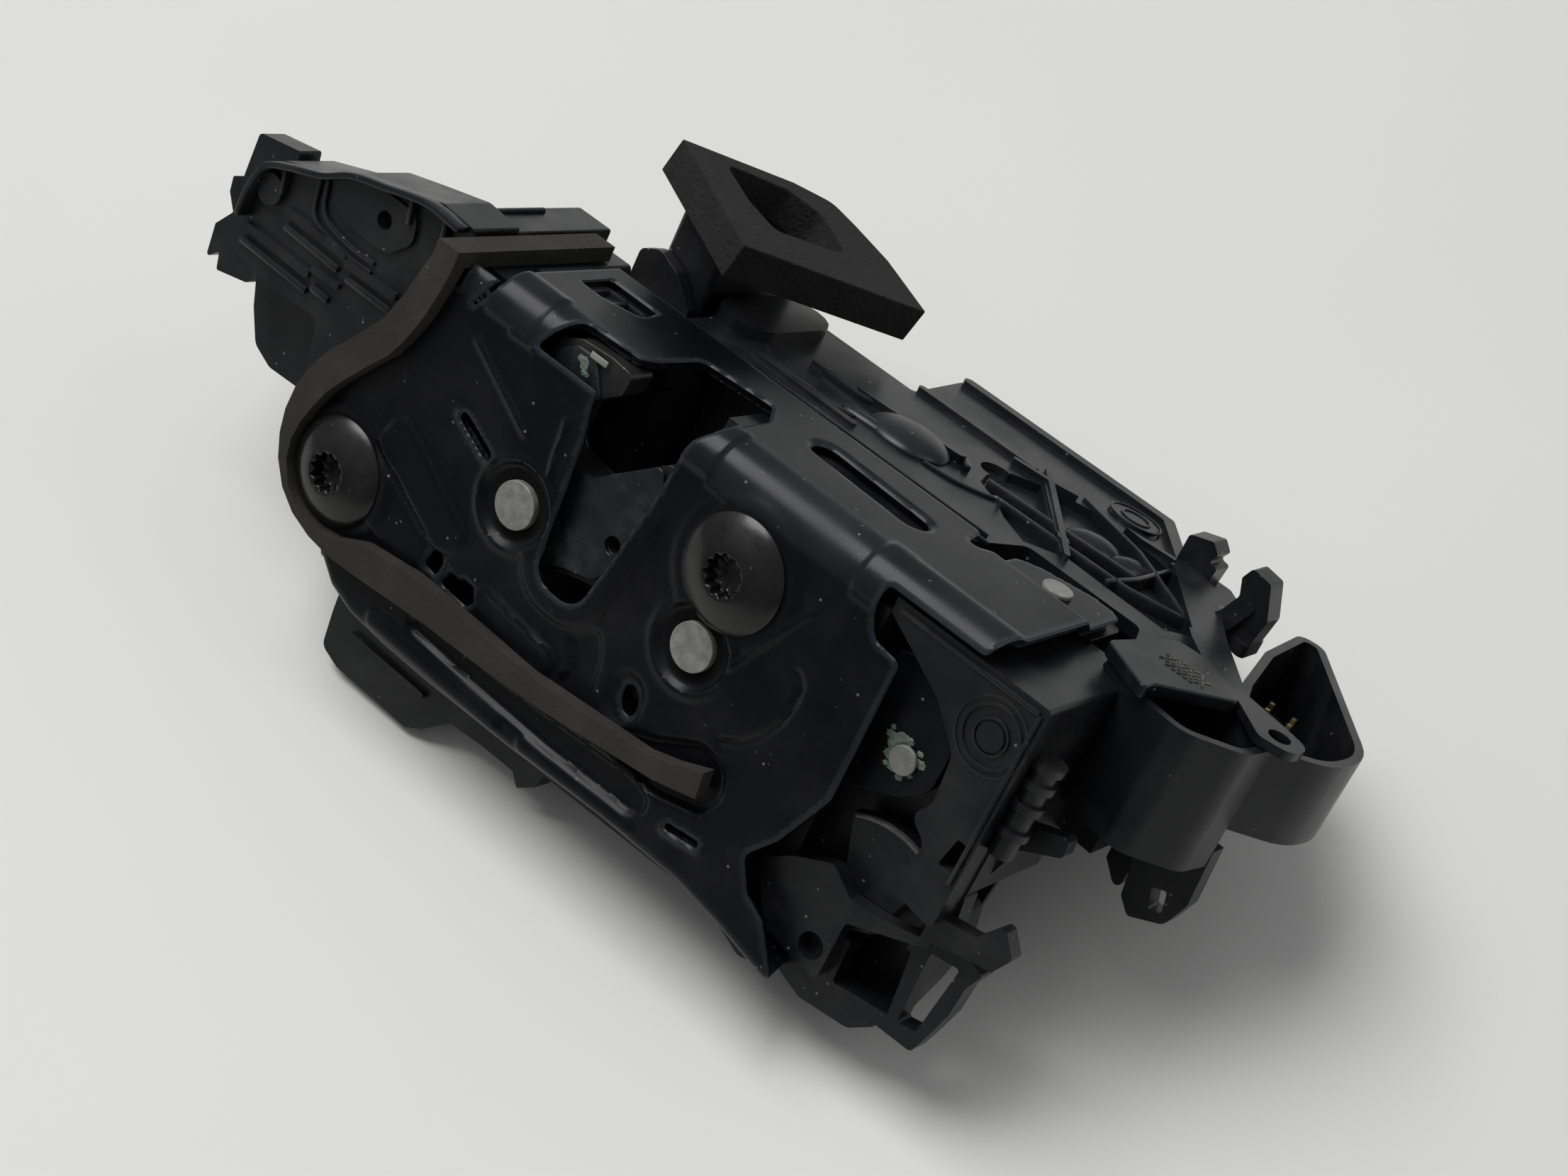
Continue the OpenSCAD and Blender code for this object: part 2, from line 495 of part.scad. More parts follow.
panel_x = 97;
panel_top = 28.8;
panel_z = -2.4;
bay_floor = -13;
bay_mid = -20;
bay_edge = [[62, -35, 1], [72, -40, 2], [80, -42.5, 3], [90, -41, 3], [94, -37.5, 2], [96, -29, 3],
    [97.4, -21, 2],
    [96, -14, 2], [90, -12, 2], [panel_x, -8, 1], [panel_x, panel_top, 1], [65.8, panel_top, 0],
    [65.8, -16, 0],
    [61.8, -22, 0]];
bay_deep = [[62, -35, 1], [72, -40, 2], [80, -42, 2], [86, -40, 2], [88, -34, 2], [88, -12, 2],
    [panel_x, -8, 1],
    [panel_x, panel_top, 1], [65.8, panel_top, 0], [65.8, -16, 0], [61.8, -22, 0]];
bay_front = [[62, -36.5, 1], [74, -39, 2], [81, -38.6, 3], [90, -37.2, 3], [101.4, -36.6, 1],
    [102.6, -32.5, 1],
    [104, -27, 1], [104.3, -21, 1], [105.8, -17.4, 0.5], [98, -15, 1], [panel_x, -8, 1], [90, -8, 1],
    [66, -16, 0],
    [61.8, -22, 0]];
module bay_form() {
    difference() {
        union() {
            slab(bay_edge, bay_mid, -8);
            slab(bay_deep, -front_depth, bay_mid + 0.01);
            slab(bay_front, -12, -8);
            // Round bar with collars beside the panel
            translate([panel_x + 1.6, 2, -7.5]) rotate([-90, 0, 0]) {
                cylinder(r = 2.2, h = 18);
                for (y = [4, 9, 13, 16.4]) translate([0, 0, y]) cylinder(r = 2.9, h = 1.4);
            }
            slab([[panel_x - 1, 1, 0], [panel_x + 1.6, 1, 0], [panel_x + 1.6, 20, 0],
                [panel_x - 1, 20, 0]], -9.4, -8.2);
            // Web towards the connectors
            slab([[91, -11, 0], [panel_x - 1, 5, 0], [105.6, 8.6, 1], [105.9, 5, 1], [99, 1.5, 2],
                [95, -11.5, 1]], -16, -13);
        }
        // Room for both levers, open to the front
        slab([[68, -28, 2], [92, -28, 2], [94, -3, 2], [94, 22, 2], [68, 22, 2]], bay_floor, 0);
        // Pockets seen through the front
        slab([[83.5, -25, 0.5], [93.5, -22, 0.5], [95, -34, 0.5], [84, -36, 0.5]], bay_mid + wall, 0);
        slab([[83.5, -29, 0.5], [92, -29, 0.5], [92, -38, 0.5], [76, -38, 0.5], [76, -32, 0.5]],
            bay_mid + wall, -12.6);
        slab([[96.5, -20, 0.5], [102, -19, 0.5], [100.6, -33, 0.5], [97, -34, 0.5]], bay_mid + wall, 0);
        // Hollow behind the levers
        slab([[69, -24, 2], [85, -24, 2], [85, -9, 2], [94, -5, 2], [94, 26, 2], [69, 26, 2]],
            -front_depth - 1,
            bay_floor - wall);
    }
    // Front panel beside the levers
    difference() {
        slab([[87, -12, 1], [96.5, -13.5, 1], [panel_x, panel_top, 1], [66, panel_top, 0], [66, 26, 0],
            [70, 24, 3],
            [79.5, 19, 4], [86, 13, 4], [87, 4, 4], [84.5, 0.5, 3], [89, -2.5, 2]], -8.01, panel_z);
        slab([[92.3, -3.6, 0.5], [96.2, -3, 0.3], [96.2, 2, 0.3], [93.4, 2.1, 0.5]], -7, 0);
    }
    translate([90.2, 19.5, panel_z - 0.01]) difference() {
        cylinder(r = 5.4, h = 0.4);
        translate([0, 0, -1]) cylinder(r = 4.9, h = 2);
    }
    translate([90.2, 19.5, panel_z - 0.01]) cylinder(r = 2.4, h = 0.5);
    // Lower ledge with its screw hole
    difference() {
        slab([[63.6, -25, 1], [69, -20.5, 2], [76, -16.8, 2], [81.4, -20, 2], [87, -19.3, 1],
            [97, -16.6, 0.4],
            [96.4, -18.2, 0.4], [82.5, -24, 1], [82.5, -36, 1], [76, -35.4, 0.5], [70, -34.4, 1]],
            -8.01, -5);
        post(79, -31.5, 2.4, -20, 0);
    }
    slab([[94.6, -17.6, 0], [102, -15.2, 1], [107.6, -14, 0.5], [109.6, -10, 1], [106, -6, 1],
        [102.6, -11, 1],
        [94.6, -12.3, 0]], -8.02, -5.02);
    // Floor pads of the lever pins
    post(lever_x, lever_y, 4, bay_floor - wall, bay_floor + 0.5);
    post(fan_at.x, fan_at.y, 4, bay_floor - wall, fan_top - lever_t - 0.3);
}

module lever_bay() color(plastic) difference() {
    bay_form();
    latch_tray();
    deep_outside();
    flange_shelf();
    lower_tab();
    funnel_room(deck_y + 10);
}

tab_z = -10;
module lower_tab() {
    slab([[-38, -30, 0], [-37.6, -45.9, 2], [-36.9, -53.4, 2], [-32, -55, 2], [-13.2, -55.1, 1],
        [-9.5, -53, 1],
        [-4.4, -48, 1], [3.5, -47.2, 1], [11.5, -47, 0.5], [13.6, -49.2, 0.5], [17, -46.6, 1],
        [17.5, -43.5, 1],
        [52, -42, 1], [54, -30, 0]], tab_z - 4, tab_z);
    bead([-31, -47], [-12, -47], 1.2, tab_z - 0.01, tab_z + 1);
    slab([[56, -30, 0], [57, -42, 1], [66, -45.5, 2], [71, -44, 1], [74, -36, 0]], tab_z - 4, tab_z);
}
// Raised rim round the plate's left side, under the foam
module foam_rim() {
    ends = [for (i = [1:13]) strip_out[i]];
    plain_slab(concat(moved_in(ends, 0.3), [for (i = [12:-1:0]) moved_in(ends, 2)[i]]), tray_top - 1, -0.1);
}

module latch_tray() slab(tray_edge, tray_base, tray_top);
shelf_y = flange_y - plate_t - air;
module deep_outside() slab([[-36, -8, 2], [62, -8, 2], [66, shelf_y - 0.6, 1], [-30, shelf_y - 0.6, 1]],
    -front_depth,
    tray_base + 0.01);
// Shelf under the flange
module flange_shelf() deck_slab([[plate_left - 1.1, -8.5, 0], [66, -8.5, 0], [66, -front_depth, 0],
    [plate_left - 1.1, -front_depth, 0]], shelf_y - 3, shelf_y);
module latch_housing() color(plastic) difference() {
    union() {
        latch_tray();
        // Walls of the deep space behind the tray
        difference() {
            deep_outside();
            slab([[-36 + wall, -8 + wall, 1], [60, -8 + wall, 1], [63.5, 28, 1], [-31, 28, 1]],
                -front_depth - 1,
                tray_base);
        }
        // Channel round the striker's throat
        slab([[throat_x - throat_r - wall, 30, 0], [throat_x - throat_r - wall, throat_low - 3.5, 4],
            [throat_x + throat_r + wall, throat_low - 3.5, 4], [throat_x + throat_r + wall, 30, 0]],
            -front_depth,
            tray_base + 0.01);
        flange_shelf();
        lower_tab();
        foam_rim();
    }
    // Pocket of the catch and the pawl
    difference() {
        slab(pocket_edge, back_base, 1);
        post(-screw_x, -screw_y, shank_r + 3.4, back_base - 1, 1);
        post(screw_x, screw_y, shank_r + 3.4, back_base - 1, 1);
    }
    // Throat, open through the flange
    slab([[throat_x - throat_r + 0.4, flange_y + 1, 0], [throat_x - throat_r + 0.4, throat_low + 0.2, 6],
        [throat_x + throat_r - 1, throat_low + 0.2, 6], [throat_x + throat_r + 0.6, flange_y + 1, 0]],
        -28, 1);
    slab([[mouth_left + 0.3, flange_y + 1, 0], [mouth_left + 0.3, 18, 0], [throat_x + throat_r, 18, 0],
        [mouth_right - 0.6, flange_y + 1, 0]], back_base, 1);
    for (side = [-1, 1]) post(side * screw_x, side * screw_y, shank_r + air, -shank_len - 1, 1);
    post(catch_x, catch_y, rivet_r + 4.6, back_base - 2.6, 0);
    post(pawl_x, pawl_y, rivet_r + 4.6, back_base - 2.6, 0);
    // Room for the striker buffer at the throat's end
    slab([[throat_x - throat_r + 1, throat_low - 0.8, 1], [throat_x + throat_r - 2, throat_low - 0.8, 1],
        [throat_x + throat_r - 1.6, throat_low + 3, 0.4], [throat_x - throat_r + 0.6, throat_low + 3, 0.4]],
        back_base - wall - buffer_depth, back_base);
}

module foam_strip() color(foam) {
    plain_slab(concat(strip_out, strip_in), 0, strip_t);
    block([-36.4, shoulder_y, -39], [-31.4, shoulder_y + strip_t, strip_t]);
    block([-36.4, shoulder_y - 0.2, 0], [-31.4, shoulder_y + 0.01, strip_t]);
}

// Second leg of the housing, behind the flange
side_front = -front_depth - seat_gap;
side_back = -side_depth;
side_edge = [[-29, side_front, 0], [93, side_front, 0], [96, -50, 2], [79, -74, 2], [70, side_back, 2],
    [18, side_back, 1], [18, -72, 1], [-8, -78.4, 3], [-29, -78.4, 3]];
side_room = [[-11, side_front - wall, 1], [90.5, side_front - wall, 1], [93, -50, 1], [77, -72, 1],
    [68, side_back + wall, 1], [20.5, side_back + wall, 1], [20.5, -69.5, 1], [-11, -75, 1]];
cover_base_y = deck_y - cover_t;
pad_top = tongue_top - plate_t - seat_gap;
module side_housing() color(plastic) difference() {
    union() {
        difference() {
            deck_slab(side_edge, side_base, cover_base_y - seat_gap);
            deck_slab(side_room, side_base + wall, deck_y + 1);
        }
        // Pad under the flange's tongue
        deck_slab([[66, side_front, 0], [86.5, side_front, 0], [86.5, -tongue_end - 0.5, 2],
            [80, -tongue_end - 1.5, 2],
            [66, 1.5 - tongue_end, 3]], cover_base_y - 6, pad_top);
        // Rail under the toothed slider
        deck_slab([[29.6, rack_z + 0.8, 0], [57.6, rack_z + 0.8, 0], [57.6, rack_z + 4.2, 0],
            [29.6, rack_z + 4.2, 0]],
            side_base + wall - 0.01,
            gear_y - gear_t + air - 0.2);
        // Ridge beside the key column
        slab([[-29, 28, 0], [-29, 34.2, 1.5], [-25, 36.2, 3], [-20, 34.4, 3], [-14.4, 29.4, 1],
            [-14.4, 28, 0]], -45.6, -43);
    }
    deck_slab(well_edge, side_base + wall, deck_y + 10);
    stud_y(rivet_at.x, rivet_at.y, 1.8, side_base, deck_y + 10);
    funnel_room(deck_y + 10);
}

cover_bound = [[-10, -43, 4], [-13.5, -57, 4], [-13, -71.8, 3], [18.8, -71.6, 1], [17.8, side_back, 1.5],
    [67, side_back, 3], [79.5, -74, 2], [95.5, -50, 1], [93, -flange_depth - air, 0],
    [88, -flange_depth - air - 12, 2],
    [64, -flange_depth - air - 12, 2], [60, -flange_depth - air, 1], [-10, -flange_depth - air, 0]];
module side_cover() color(plastic) difference() {
    union() {
        difference() {
            deck_slab(cover_bound, cover_base_y, deck_y);
            funnel_room(deck_y + 1);
        }
        // Outer wall along the far edge
        deck_bead([19.5, side_back + 1.2], [67, side_back + 1.2], 2.4, deck_y - 0.01, deck_y + 1.2);
        deck_bead([67, side_back + 1.2], [79, -75], 2.4, deck_y - 0.01, deck_y + 1.2);
        deck_bead([19.2, -73.5], [46, -73.5], 1.6, deck_y - 0.01, deck_y + 1);
        // Crossing ribs
        deck_bead([47.6, -75.8], [69, -48.5], 1.2, deck_y - 0.01, deck_y + 1.2);
        deck_bead([76, -52], [78, -75.7], 1.2, deck_y - 0.01, deck_y + 1.2);
        deck_bead([43.2, -71], [77.3, -75.8], 1.2, deck_y - 0.01, deck_y + 1.2);
        deck_bead([48.5, -55.4], [89.5, -50.5], 1.2, deck_y - 0.01, deck_y + 1.2);
        deck_bead([53.4, -50.5], [90.9, -59.5], 1.2, deck_y - 0.01, deck_y + 1.2);
        // Dome beside the key column
        deck_bead([-6.3, -50.5], [-6, -64.5], 12.4, deck_y - 0.01, deck_y + 2.2);
        // Beads over the drive
        deck_bead([2.5, -41.7], [25.8, -41.2], 1.6, deck_y - 0.01, deck_y + 0.8);
        deck_bead([7.5, -54.1], [18.3, -54.6], 1.6, deck_y - 0.01, deck_y + 0.8);
        deck_bead([18.3, -54.6], [39.6, -56.5], 2.4, deck_y - 0.01, deck_y + 1.6);
        stud_y(32, -51.5, 5.4, deck_y - 0.01, deck_y + 1.4);
        stud_y(64, -82.6, 4.6, deck_y - 0.01, deck_y + 0.5);
        stud_y(68, -66, 4.2, deck_y - 0.01, deck_y + 1.8);
        stud_y(73.5, -64, 3.4, deck_y - 0.01, deck_y + 1.4);
        // Strap over the funnels, with its screw lug
        strap();
        // Hooks for the cables
        deck_slab([[78, -70, 0], [99, -64, 1], [99, -71, 1], [86, -82, 1], [74, -82, 0]],
            cover_base_y, deck_y);
        slab([[76.5, deck_y - 1, 0], [76.5, 37.4, 0.8], [81.1, 38.7, 0.8], [82.9, 37, 0.5],
            [81.9, 35.2, 0.5],
            [83.9, 34.9, 0.5], [83.5, deck_y - 1, 0]], -81, -76);
        slab([[88.4, deck_y - 1, 0], [88.6, 32, 0.5], [91.2, 32.6, 2], [93.2, 37.4, 1], [92, 40.4, 0.8],
            [93, 42.8, 0.8], [97, 42.2, 0.8], [99.6, 36.4, 0.8], [98.8, deck_y - 1, 0]], -70, -65);
        // Seat for the cable on the inner side of the second hook
        slab([[89, deck_y - 1, 0], [89.2, 31.4, 1], [92.2, 32, 3], [95.4, 37.6, 0.5], [97, 36.8, 0.5],
            [94.2, 30.6, 3], [91, deck_y - 1, 0]], -66, -64);
    }
    stud_y(lug_at.x, lug_at.y, lug_hole_r, deck_y - 1, deck_y + 4);
    stud_y(44.2, -63.2, 3, deck_y - 1.6, deck_y + 4);
}
lug_at = [118.8, -37.2];
module strap() {
    deck_slab([[78, -78, 1], [86, -74, 1], [97.5, -57.5, 2], [109, -43.5, 3], [117, -41.8, 2],
        [123.5, -40, 3],
        [122.5, -34.2, 3], [117, -32.8, 2], [110, -39, 2], [99, -45.5, 2], [94.5, -49.8, 2], [78, -71, 1]],
        deck_y, deck_y + strap_t);
    deck_slab([[78, -77, 0], [85, -74, 0], [96, -57, 0], [95.5, -50, 0], [78, -71, 0]],
        cover_base_y, deck_y + 0.01);
}

// The key column and its foam stand tilted
ring_turn = [-3, -23, -10.6];
ring_at = [-34.7, 53.2, -50.2];
ring_edge = [[0, 0, 0], [31.5, 0, 0], [31.5, 44.3, 0], [17, 42.5, 3], [8, 39, 3], [2, 36, 4], [0, 27, 3]];
ring_hole = [[3.2, 9, 2], [14, 9.3, 2], [21.5, 12, 2], [21, 30, 3], [9, 30, 3], [4, 24, 2]];
// Places a slab drawn in the ring's own plane: x along its short side, y away along its long side
module on_ring(y0, y1) translate(ring_at) rotate(ring_turn) translate([0, y1, 0]) rotate([90, 0, 0])
    mirror([0, 1, 0]) linear_extrude(y1 - y0) children();
module foam_ring() color(foam) on_ring(-ring_t, 0) difference() {
    polygon(outline(ring_edge));
    polygon(outline(ring_hole));
}
column_edge = [[-26.2, -46.2, 1.5], [-14, -46.2, 1.5], [-14, -76, 3], [-26.2, -76, 1.5]];
well_edge = [[-26.4, -46, 1.5], [-13.8, -46, 1.5], [-13.8, -76.2, 3], [-26.4, -76.2, 1.5]];
cam_at = [-20.2, -61];
cam_r = 4.4;
module cylinder_column() color(plastic) difference() {
    deck_slab(column_edge, side_base + wall, 50);
    translate(ring_at) rotate(ring_turn) translate([-40, -ring_t, -90]) cube([120, 60, 130]);
    stud_y(cam_at.x, cam_at.y, cam_r + air, 22, 60);
    stud_y(cam_at.x, cam_at.y, 3 + run_gap, side_base, 60);
}

module key_cam() color(grey_plastic) difference() {
    union() {
        stud_y(cam_at.x, cam_at.y, cam_r, 22 + air, 36);
        stud_y(cam_at.x, cam_at.y, 3, side_base + wall + 1, 22 + air + 0.01);
    }
    deck_bead(cam_at - [2.4, 0], cam_at + [2.4, 0], 1.6, 26, 40);
    stud_y(cam_at.x - 1.8, cam_at.y, 1.4, 26, 40);
}

// Connector shroud: two funnels side by side
rim_y = deck_y - seat_gap;
funnel_base = rim_y - funnel_depth;
far_base = funnel_base + 3.4;
near_edge = [[90.5, -27.5, 4], [101, -22, 5], [110, -20.5, 6], [118.5, -28, 6], [119.6, -36, 1],
    [110, -41.5, 2],
    [97, -45, 3], [93, -42, 3]];
far_edge = [[118.9, -35.2, 0], [127, -43.5, 12], [128.5, -55, 13], [104.5, -85.6, 3], [100, -84.5, 3],
    [101, -68, 3], [105, -52, 4], [109.4, -40.7, 0]];
// The far funnel without its rounded tip, for what stands well inside it
far_core = [[118.9, -35.2, 0], [127, -43.5, 6], [128.5, -55, 7], [103, -84.5, 3], [101, -68, 3],
    [105, -52, 4],
    [109.4, -40.7, 0]];
// The same outline moved in by d; all outlines here run clockwise
function inset(spec, d) =
    let (m = len(spec), xy = [for (p = spec) [p.x, p.y]])
    [for (i = [0:m - 1])
        let (a = unit(xy[i] - xy[(i + m - 1) % m]), b = unit(xy[(i + 1) % m] - xy[i]))
        let (na = [a.y, -a.x], nb = [b.y, -b.x])
        let (q = xy[i] + (na + nb) * d / (1 + na * nb))
        [q.x, q.y, max(0.4, spec[i][2] - d)]];
// Room for the near funnel in the pieces beside it
module funnel_room(y1) deck_slab(inset(near_edge, -seat_gap), funnel_base - 4 - seat_gap, y1);
module connector_shroud() color(plastic) {
    difference() {
        union() {
            deck_slab(near_edge, funnel_base - 4, rim_y);
            deck_slab(far_edge, far_base, rim_y);
            // Foot that meets the side housing
            deck_slab([[96.4, -50, 0], [104, -44, 0], [104, -30, 0], [93.2, side_front, 0]], side_base,
                cover_base_y - 1);
        }
        deck_slab(inset(near_edge, funnel_wall), funnel_base - 4 + wall, rim_y + 1);
        deck_slab(inset(far_edge, funnel_wall), far_base + wall, rim_y + 1);
    }
    // Clip loop under the funnels
    difference() {
        slab([[106.5, 9.5, 0], [109.4, -6.6, 1], [112, -9, 1], [118, -6.2, 2], [119.8, -1, 2],
            [119, 9.5, 0]], -42, -38);
        slab([[113.2, -2, 0.5], [114.4, -5.6, 0.5], [116.8, -4.8, 0.5], [115.8, -1, 0.5]], -43, -37);
    }
    slab([[102.4, 9, 0], [103, -4.6, 0.5], [107.4, -9, 1], [108, 9, 0]], -44, -41.6);
}
module connector_block() color(plastic) {
    deck_slab(inset(near_edge, funnel_wall + 2.4), funnel_base - 4 + wall, funnel_base + 3);
    deck_slab(inset(far_core, funnel_wall + 2.4), far_base + wall, far_base + 5);
}
pin_w = 0.8;
pin_l = 3.6;
module contact_pins() color([0.72, 0.62, 0.38]) {
    for (row = [0, 1]) for (i = [0:3])
        translate([101 + i * 2.6, funnel_base + 3, -30 - row * 5]) cube([pin_w, pin_l, pin_w]);
    for (row = [0, 1]) for (i = [0:5])
        translate([109.5 + row * 4.6 - i * 0.7, far_base + 5, -52 - i * 3.4]) cube([pin_w, pin_l, pin_w]);
}
module shroud_cap() color(grey_plastic) {
    deck_slab([[90.3, -26.5, 2], [92, -34, 2], [94.5, -43.3, 2], [100, -44.3, 3], [108.5, -39.5, 0],
        [110.3, -37, 1],
        [101.6, -23.2, 2], [101.8, -19.5, 1]], rim_y + seat_gap, rim_y + 2.6);
}

// Levers behind the plate's open corner
lever_top = -5;
release_shape = [[-9.5, 14.6, 1], [-6, 15.6, 1.5], [1.5, 11.6, 3], [6.4, 5.6, 4], [6.2, -2, 4],
    [2, -6, 4], [-6, -9.5, 2],
    [-9.5, -9.5, 1]];
module release_lever() color(steel) difference() {
    translate([lever_x, lever_y, 0]) slab(release_shape, lever_top - lever_t, lever_top);
    post(lever_x, lever_y, lever_pin_r + run_gap, -20, 0);
}
module lever_pin() color(zinc) {
    post(lever_x, lever_y, lever_pin_r, bay_floor + 0.5, lever_top + 1);
    post(lever_x, lever_y, lever_pin_r + 0.5, lever_top + air, lever_top + 1.2);
}
fan_at = [82.3, -23.4];
fan_top = lever_top - lever_t - 1;
fan_r = 17;
fan_pin_r = lever_pin_r - 0.2;
fan_shape = concat([for (a = [122:-8:58]) fan_r * [cos(a), sin(a)]], [[3.2, -1.4], [0, -3.2],
    [-3.2, -1.4]]);
module inner_lever() color(grey_plastic) difference() {
    translate([fan_at.x, fan_at.y, 0]) plain_slab(fan_shape, fan_top - lever_t, fan_top);
    post(fan_at.x, fan_at.y, fan_pin_r + run_gap, -20, 0);
}
module inner_lever_pin() color(zinc) post(fan_at.x, fan_at.y, fan_pin_r, fan_top - lever_t - 0.3,
    fan_top + 0.2);

module lever_spring() color(zinc) coil(lever_x, lever_y, lever_pin_r + 1.4, lever_top - lever_t - 2.6, 2);

// Drive in the side housing: motor, pinion, wheel and toothed slider
pitch_w = wheel_teeth * tooth_m / 2;
pitch_p = pinion_teeth * tooth_m / 2;
wheel_at = [40, -60];
rack_z = wheel_at.y + pitch_p;
pinion_at = [wheel_at.x - pitch_w - pitch_p, wheel_at.y];
gear_y = side_base + wall + motor_len + 1.4;
function roll_at(rb, r) = r <= rb ? 0 : sqrt((r / rb) * (r / rb) - 1) * 180 / PI;
function flank_angle(rb, r) = let (t = roll_at(rb, r)) t - atan(t * PI / 180);
pressure = 20;
back_lash = 0.12;
function tooth(n, m) =
    let (rp = n * m / 2, rb = rp * cos(pressure), ra = rp + m * 0.95, rr = rp - 1.2 * m)
    let (half = 90 / n - back_lash / rp * 90 / PI + flank_angle(rb, rp))
    concat([[rr, -180 / n * 0.92]], [[rr, -half]],
        [for (i = [0:4]) let (r = max(rb, rr + 0.02) + (ra - max(rb, rr + 0.02)) * i / 4) [r,
        -half + flank_angle(rb, r)]],
        [for (i = [4:-1:0]) let (r = max(rb, rr + 0.02) + (ra - max(rb, rr + 0.02)) * i / 4) [r,
        half - flank_angle(rb, r)]],
        [[rr, half]]);
function gear_points(n, m, turn) = [for (k = [0:n - 1]) for (p = tooth(n, m))
    let (a = p[1] + turn + k * 360 / n) p[0] * [cos(a), sin(a)]];
module gear(at, n, turn, y0, y1) translate([at.x, y1, at.y]) rotate([90, 0, 0]) linear_extrude(y1 - y0)
    polygon(gear_points(n, tooth_m, turn));
shaft_r = 1;
module lock_motor() color(zinc) difference() {
    union() {
        stud_y(pinion_at.x, pinion_at.y, motor_r, side_base + wall, gear_y - 1.4);
        stud_y(pinion_at.x, pinion_at.y, 3, gear_y - 1.41, gear_y - 0.4);
    }
    stud_y(pinion_at.x, pinion_at.y, shaft_r + run_gap, gear_y - 8, gear_y);
}
module motor_pinion() color([0.75, 0.72, 0.6]) {
    gear(pinion_at, pinion_teeth, 0, gear_y, gear_y + gear_t);
    stud_y(pinion_at.x, pinion_at.y, shaft_r, gear_y - 7.6, gear_y + gear_t);
}
module drive_wheel() color([0.78, 0.76, 0.7]) difference() {
    union() {
        gear(wheel_at, wheel_teeth, 180 + 180 / wheel_teeth, gear_y, gear_y + gear_t);
        gear(wheel_at, pinion_teeth, 0, gear_y - gear_t, gear_y + 0.01);
    }
    stud_y(wheel_at.x, wheel_at.y, 2 + run_gap, gear_y - gear_t - 1, gear_y + gear_t + 1);
}
module wheel_pin() color(zinc) {
    stud_y(wheel_at.x, wheel_at.y, 2, side_base + wall, gear_y + gear_t + 1.2);
    stud_y(wheel_at.x, wheel_at.y, 3.6, side_base + wall, gear_y - gear_t - air);
}
module lock_slider() color([0.75, 0.72, 0.6]) {
    translate([0, gear_y - air - 0.01, 0]) rotate([90, 0, 0]) linear_extrude(gear_t - 2 * air)
        polygon(rack_points(rack_z));
}
rack_teeth = 8;
function rack_points(z0) =
    let (p = PI * tooth_m, s = tan(pressure) * tooth_m, w = p / 4 - back_lash / 2)
    let (x0 = wheel_at.x + p / 2 - rack_teeth / 2 * p)
    concat([[x0 - p, z0 + 1.2 * tooth_m + 3]],
        [[x0 - p, z0 + 1.2 * tooth_m]],
        [for (k = [0:rack_teeth - 1]) let (c = x0 + k * p) each [[c - w - s * 1.2, z0 + 1.2 * tooth_m],
            [c - w + s * 0.95, z0 - 0.95 * tooth_m], [c + w - s * 0.95, z0 - 0.95 * tooth_m],
            [c + w + s * 1.2, z0 + 1.2 * tooth_m]]],
        [[x0 + rack_teeth * p, z0 + 1.2 * tooth_m], [x0 + rack_teeth * p, z0 + 1.2 * tooth_m + 3]]);

module catch_switch() color(plastic) {
    block([-18, -2, tray_base - 6], [-8, 4, tray_base]);
}
module lock_switch() color(plastic) block([60, side_base + wall + 1.2, -66],
    [68, side_base + wall + 7, -54]);
module lead_frame() color([0.6, 0.5, 0.3]) deck_slab([[58, -40, 1], [88, -40, 1], [88, -50, 1],
    [72, -68, 1], [58, -68, 1]],
    side_base + wall, side_base + wall + 1.2);

lock_plate();
door_screws();
catch_pivot();
pawl_pivot();
flange_rivet();
backing_plate();
catch_core();
catch_cover();
catch_spring();
pawl_core();
pawl_pad();
pawl_spring();
striker_buffer();
latch_housing();
housing_ear();
lever_bay();
foam_strip();
side_housing();
side_cover();
cylinder_column();
foam_ring();
key_cam();
connector_shroud();
connector_block();
contact_pins();
shroud_cap();
release_lever();
lever_pin();
inner_lever();
inner_lever_pin();
lever_spring();
lock_motor();
motor_pinion();
drive_wheel();
wheel_pin();
lock_slider();
catch_switch();
lock_switch();
lead_frame();
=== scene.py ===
import json
import math

import bpy
import numpy as np
from mathutils import Matrix, Vector, noise

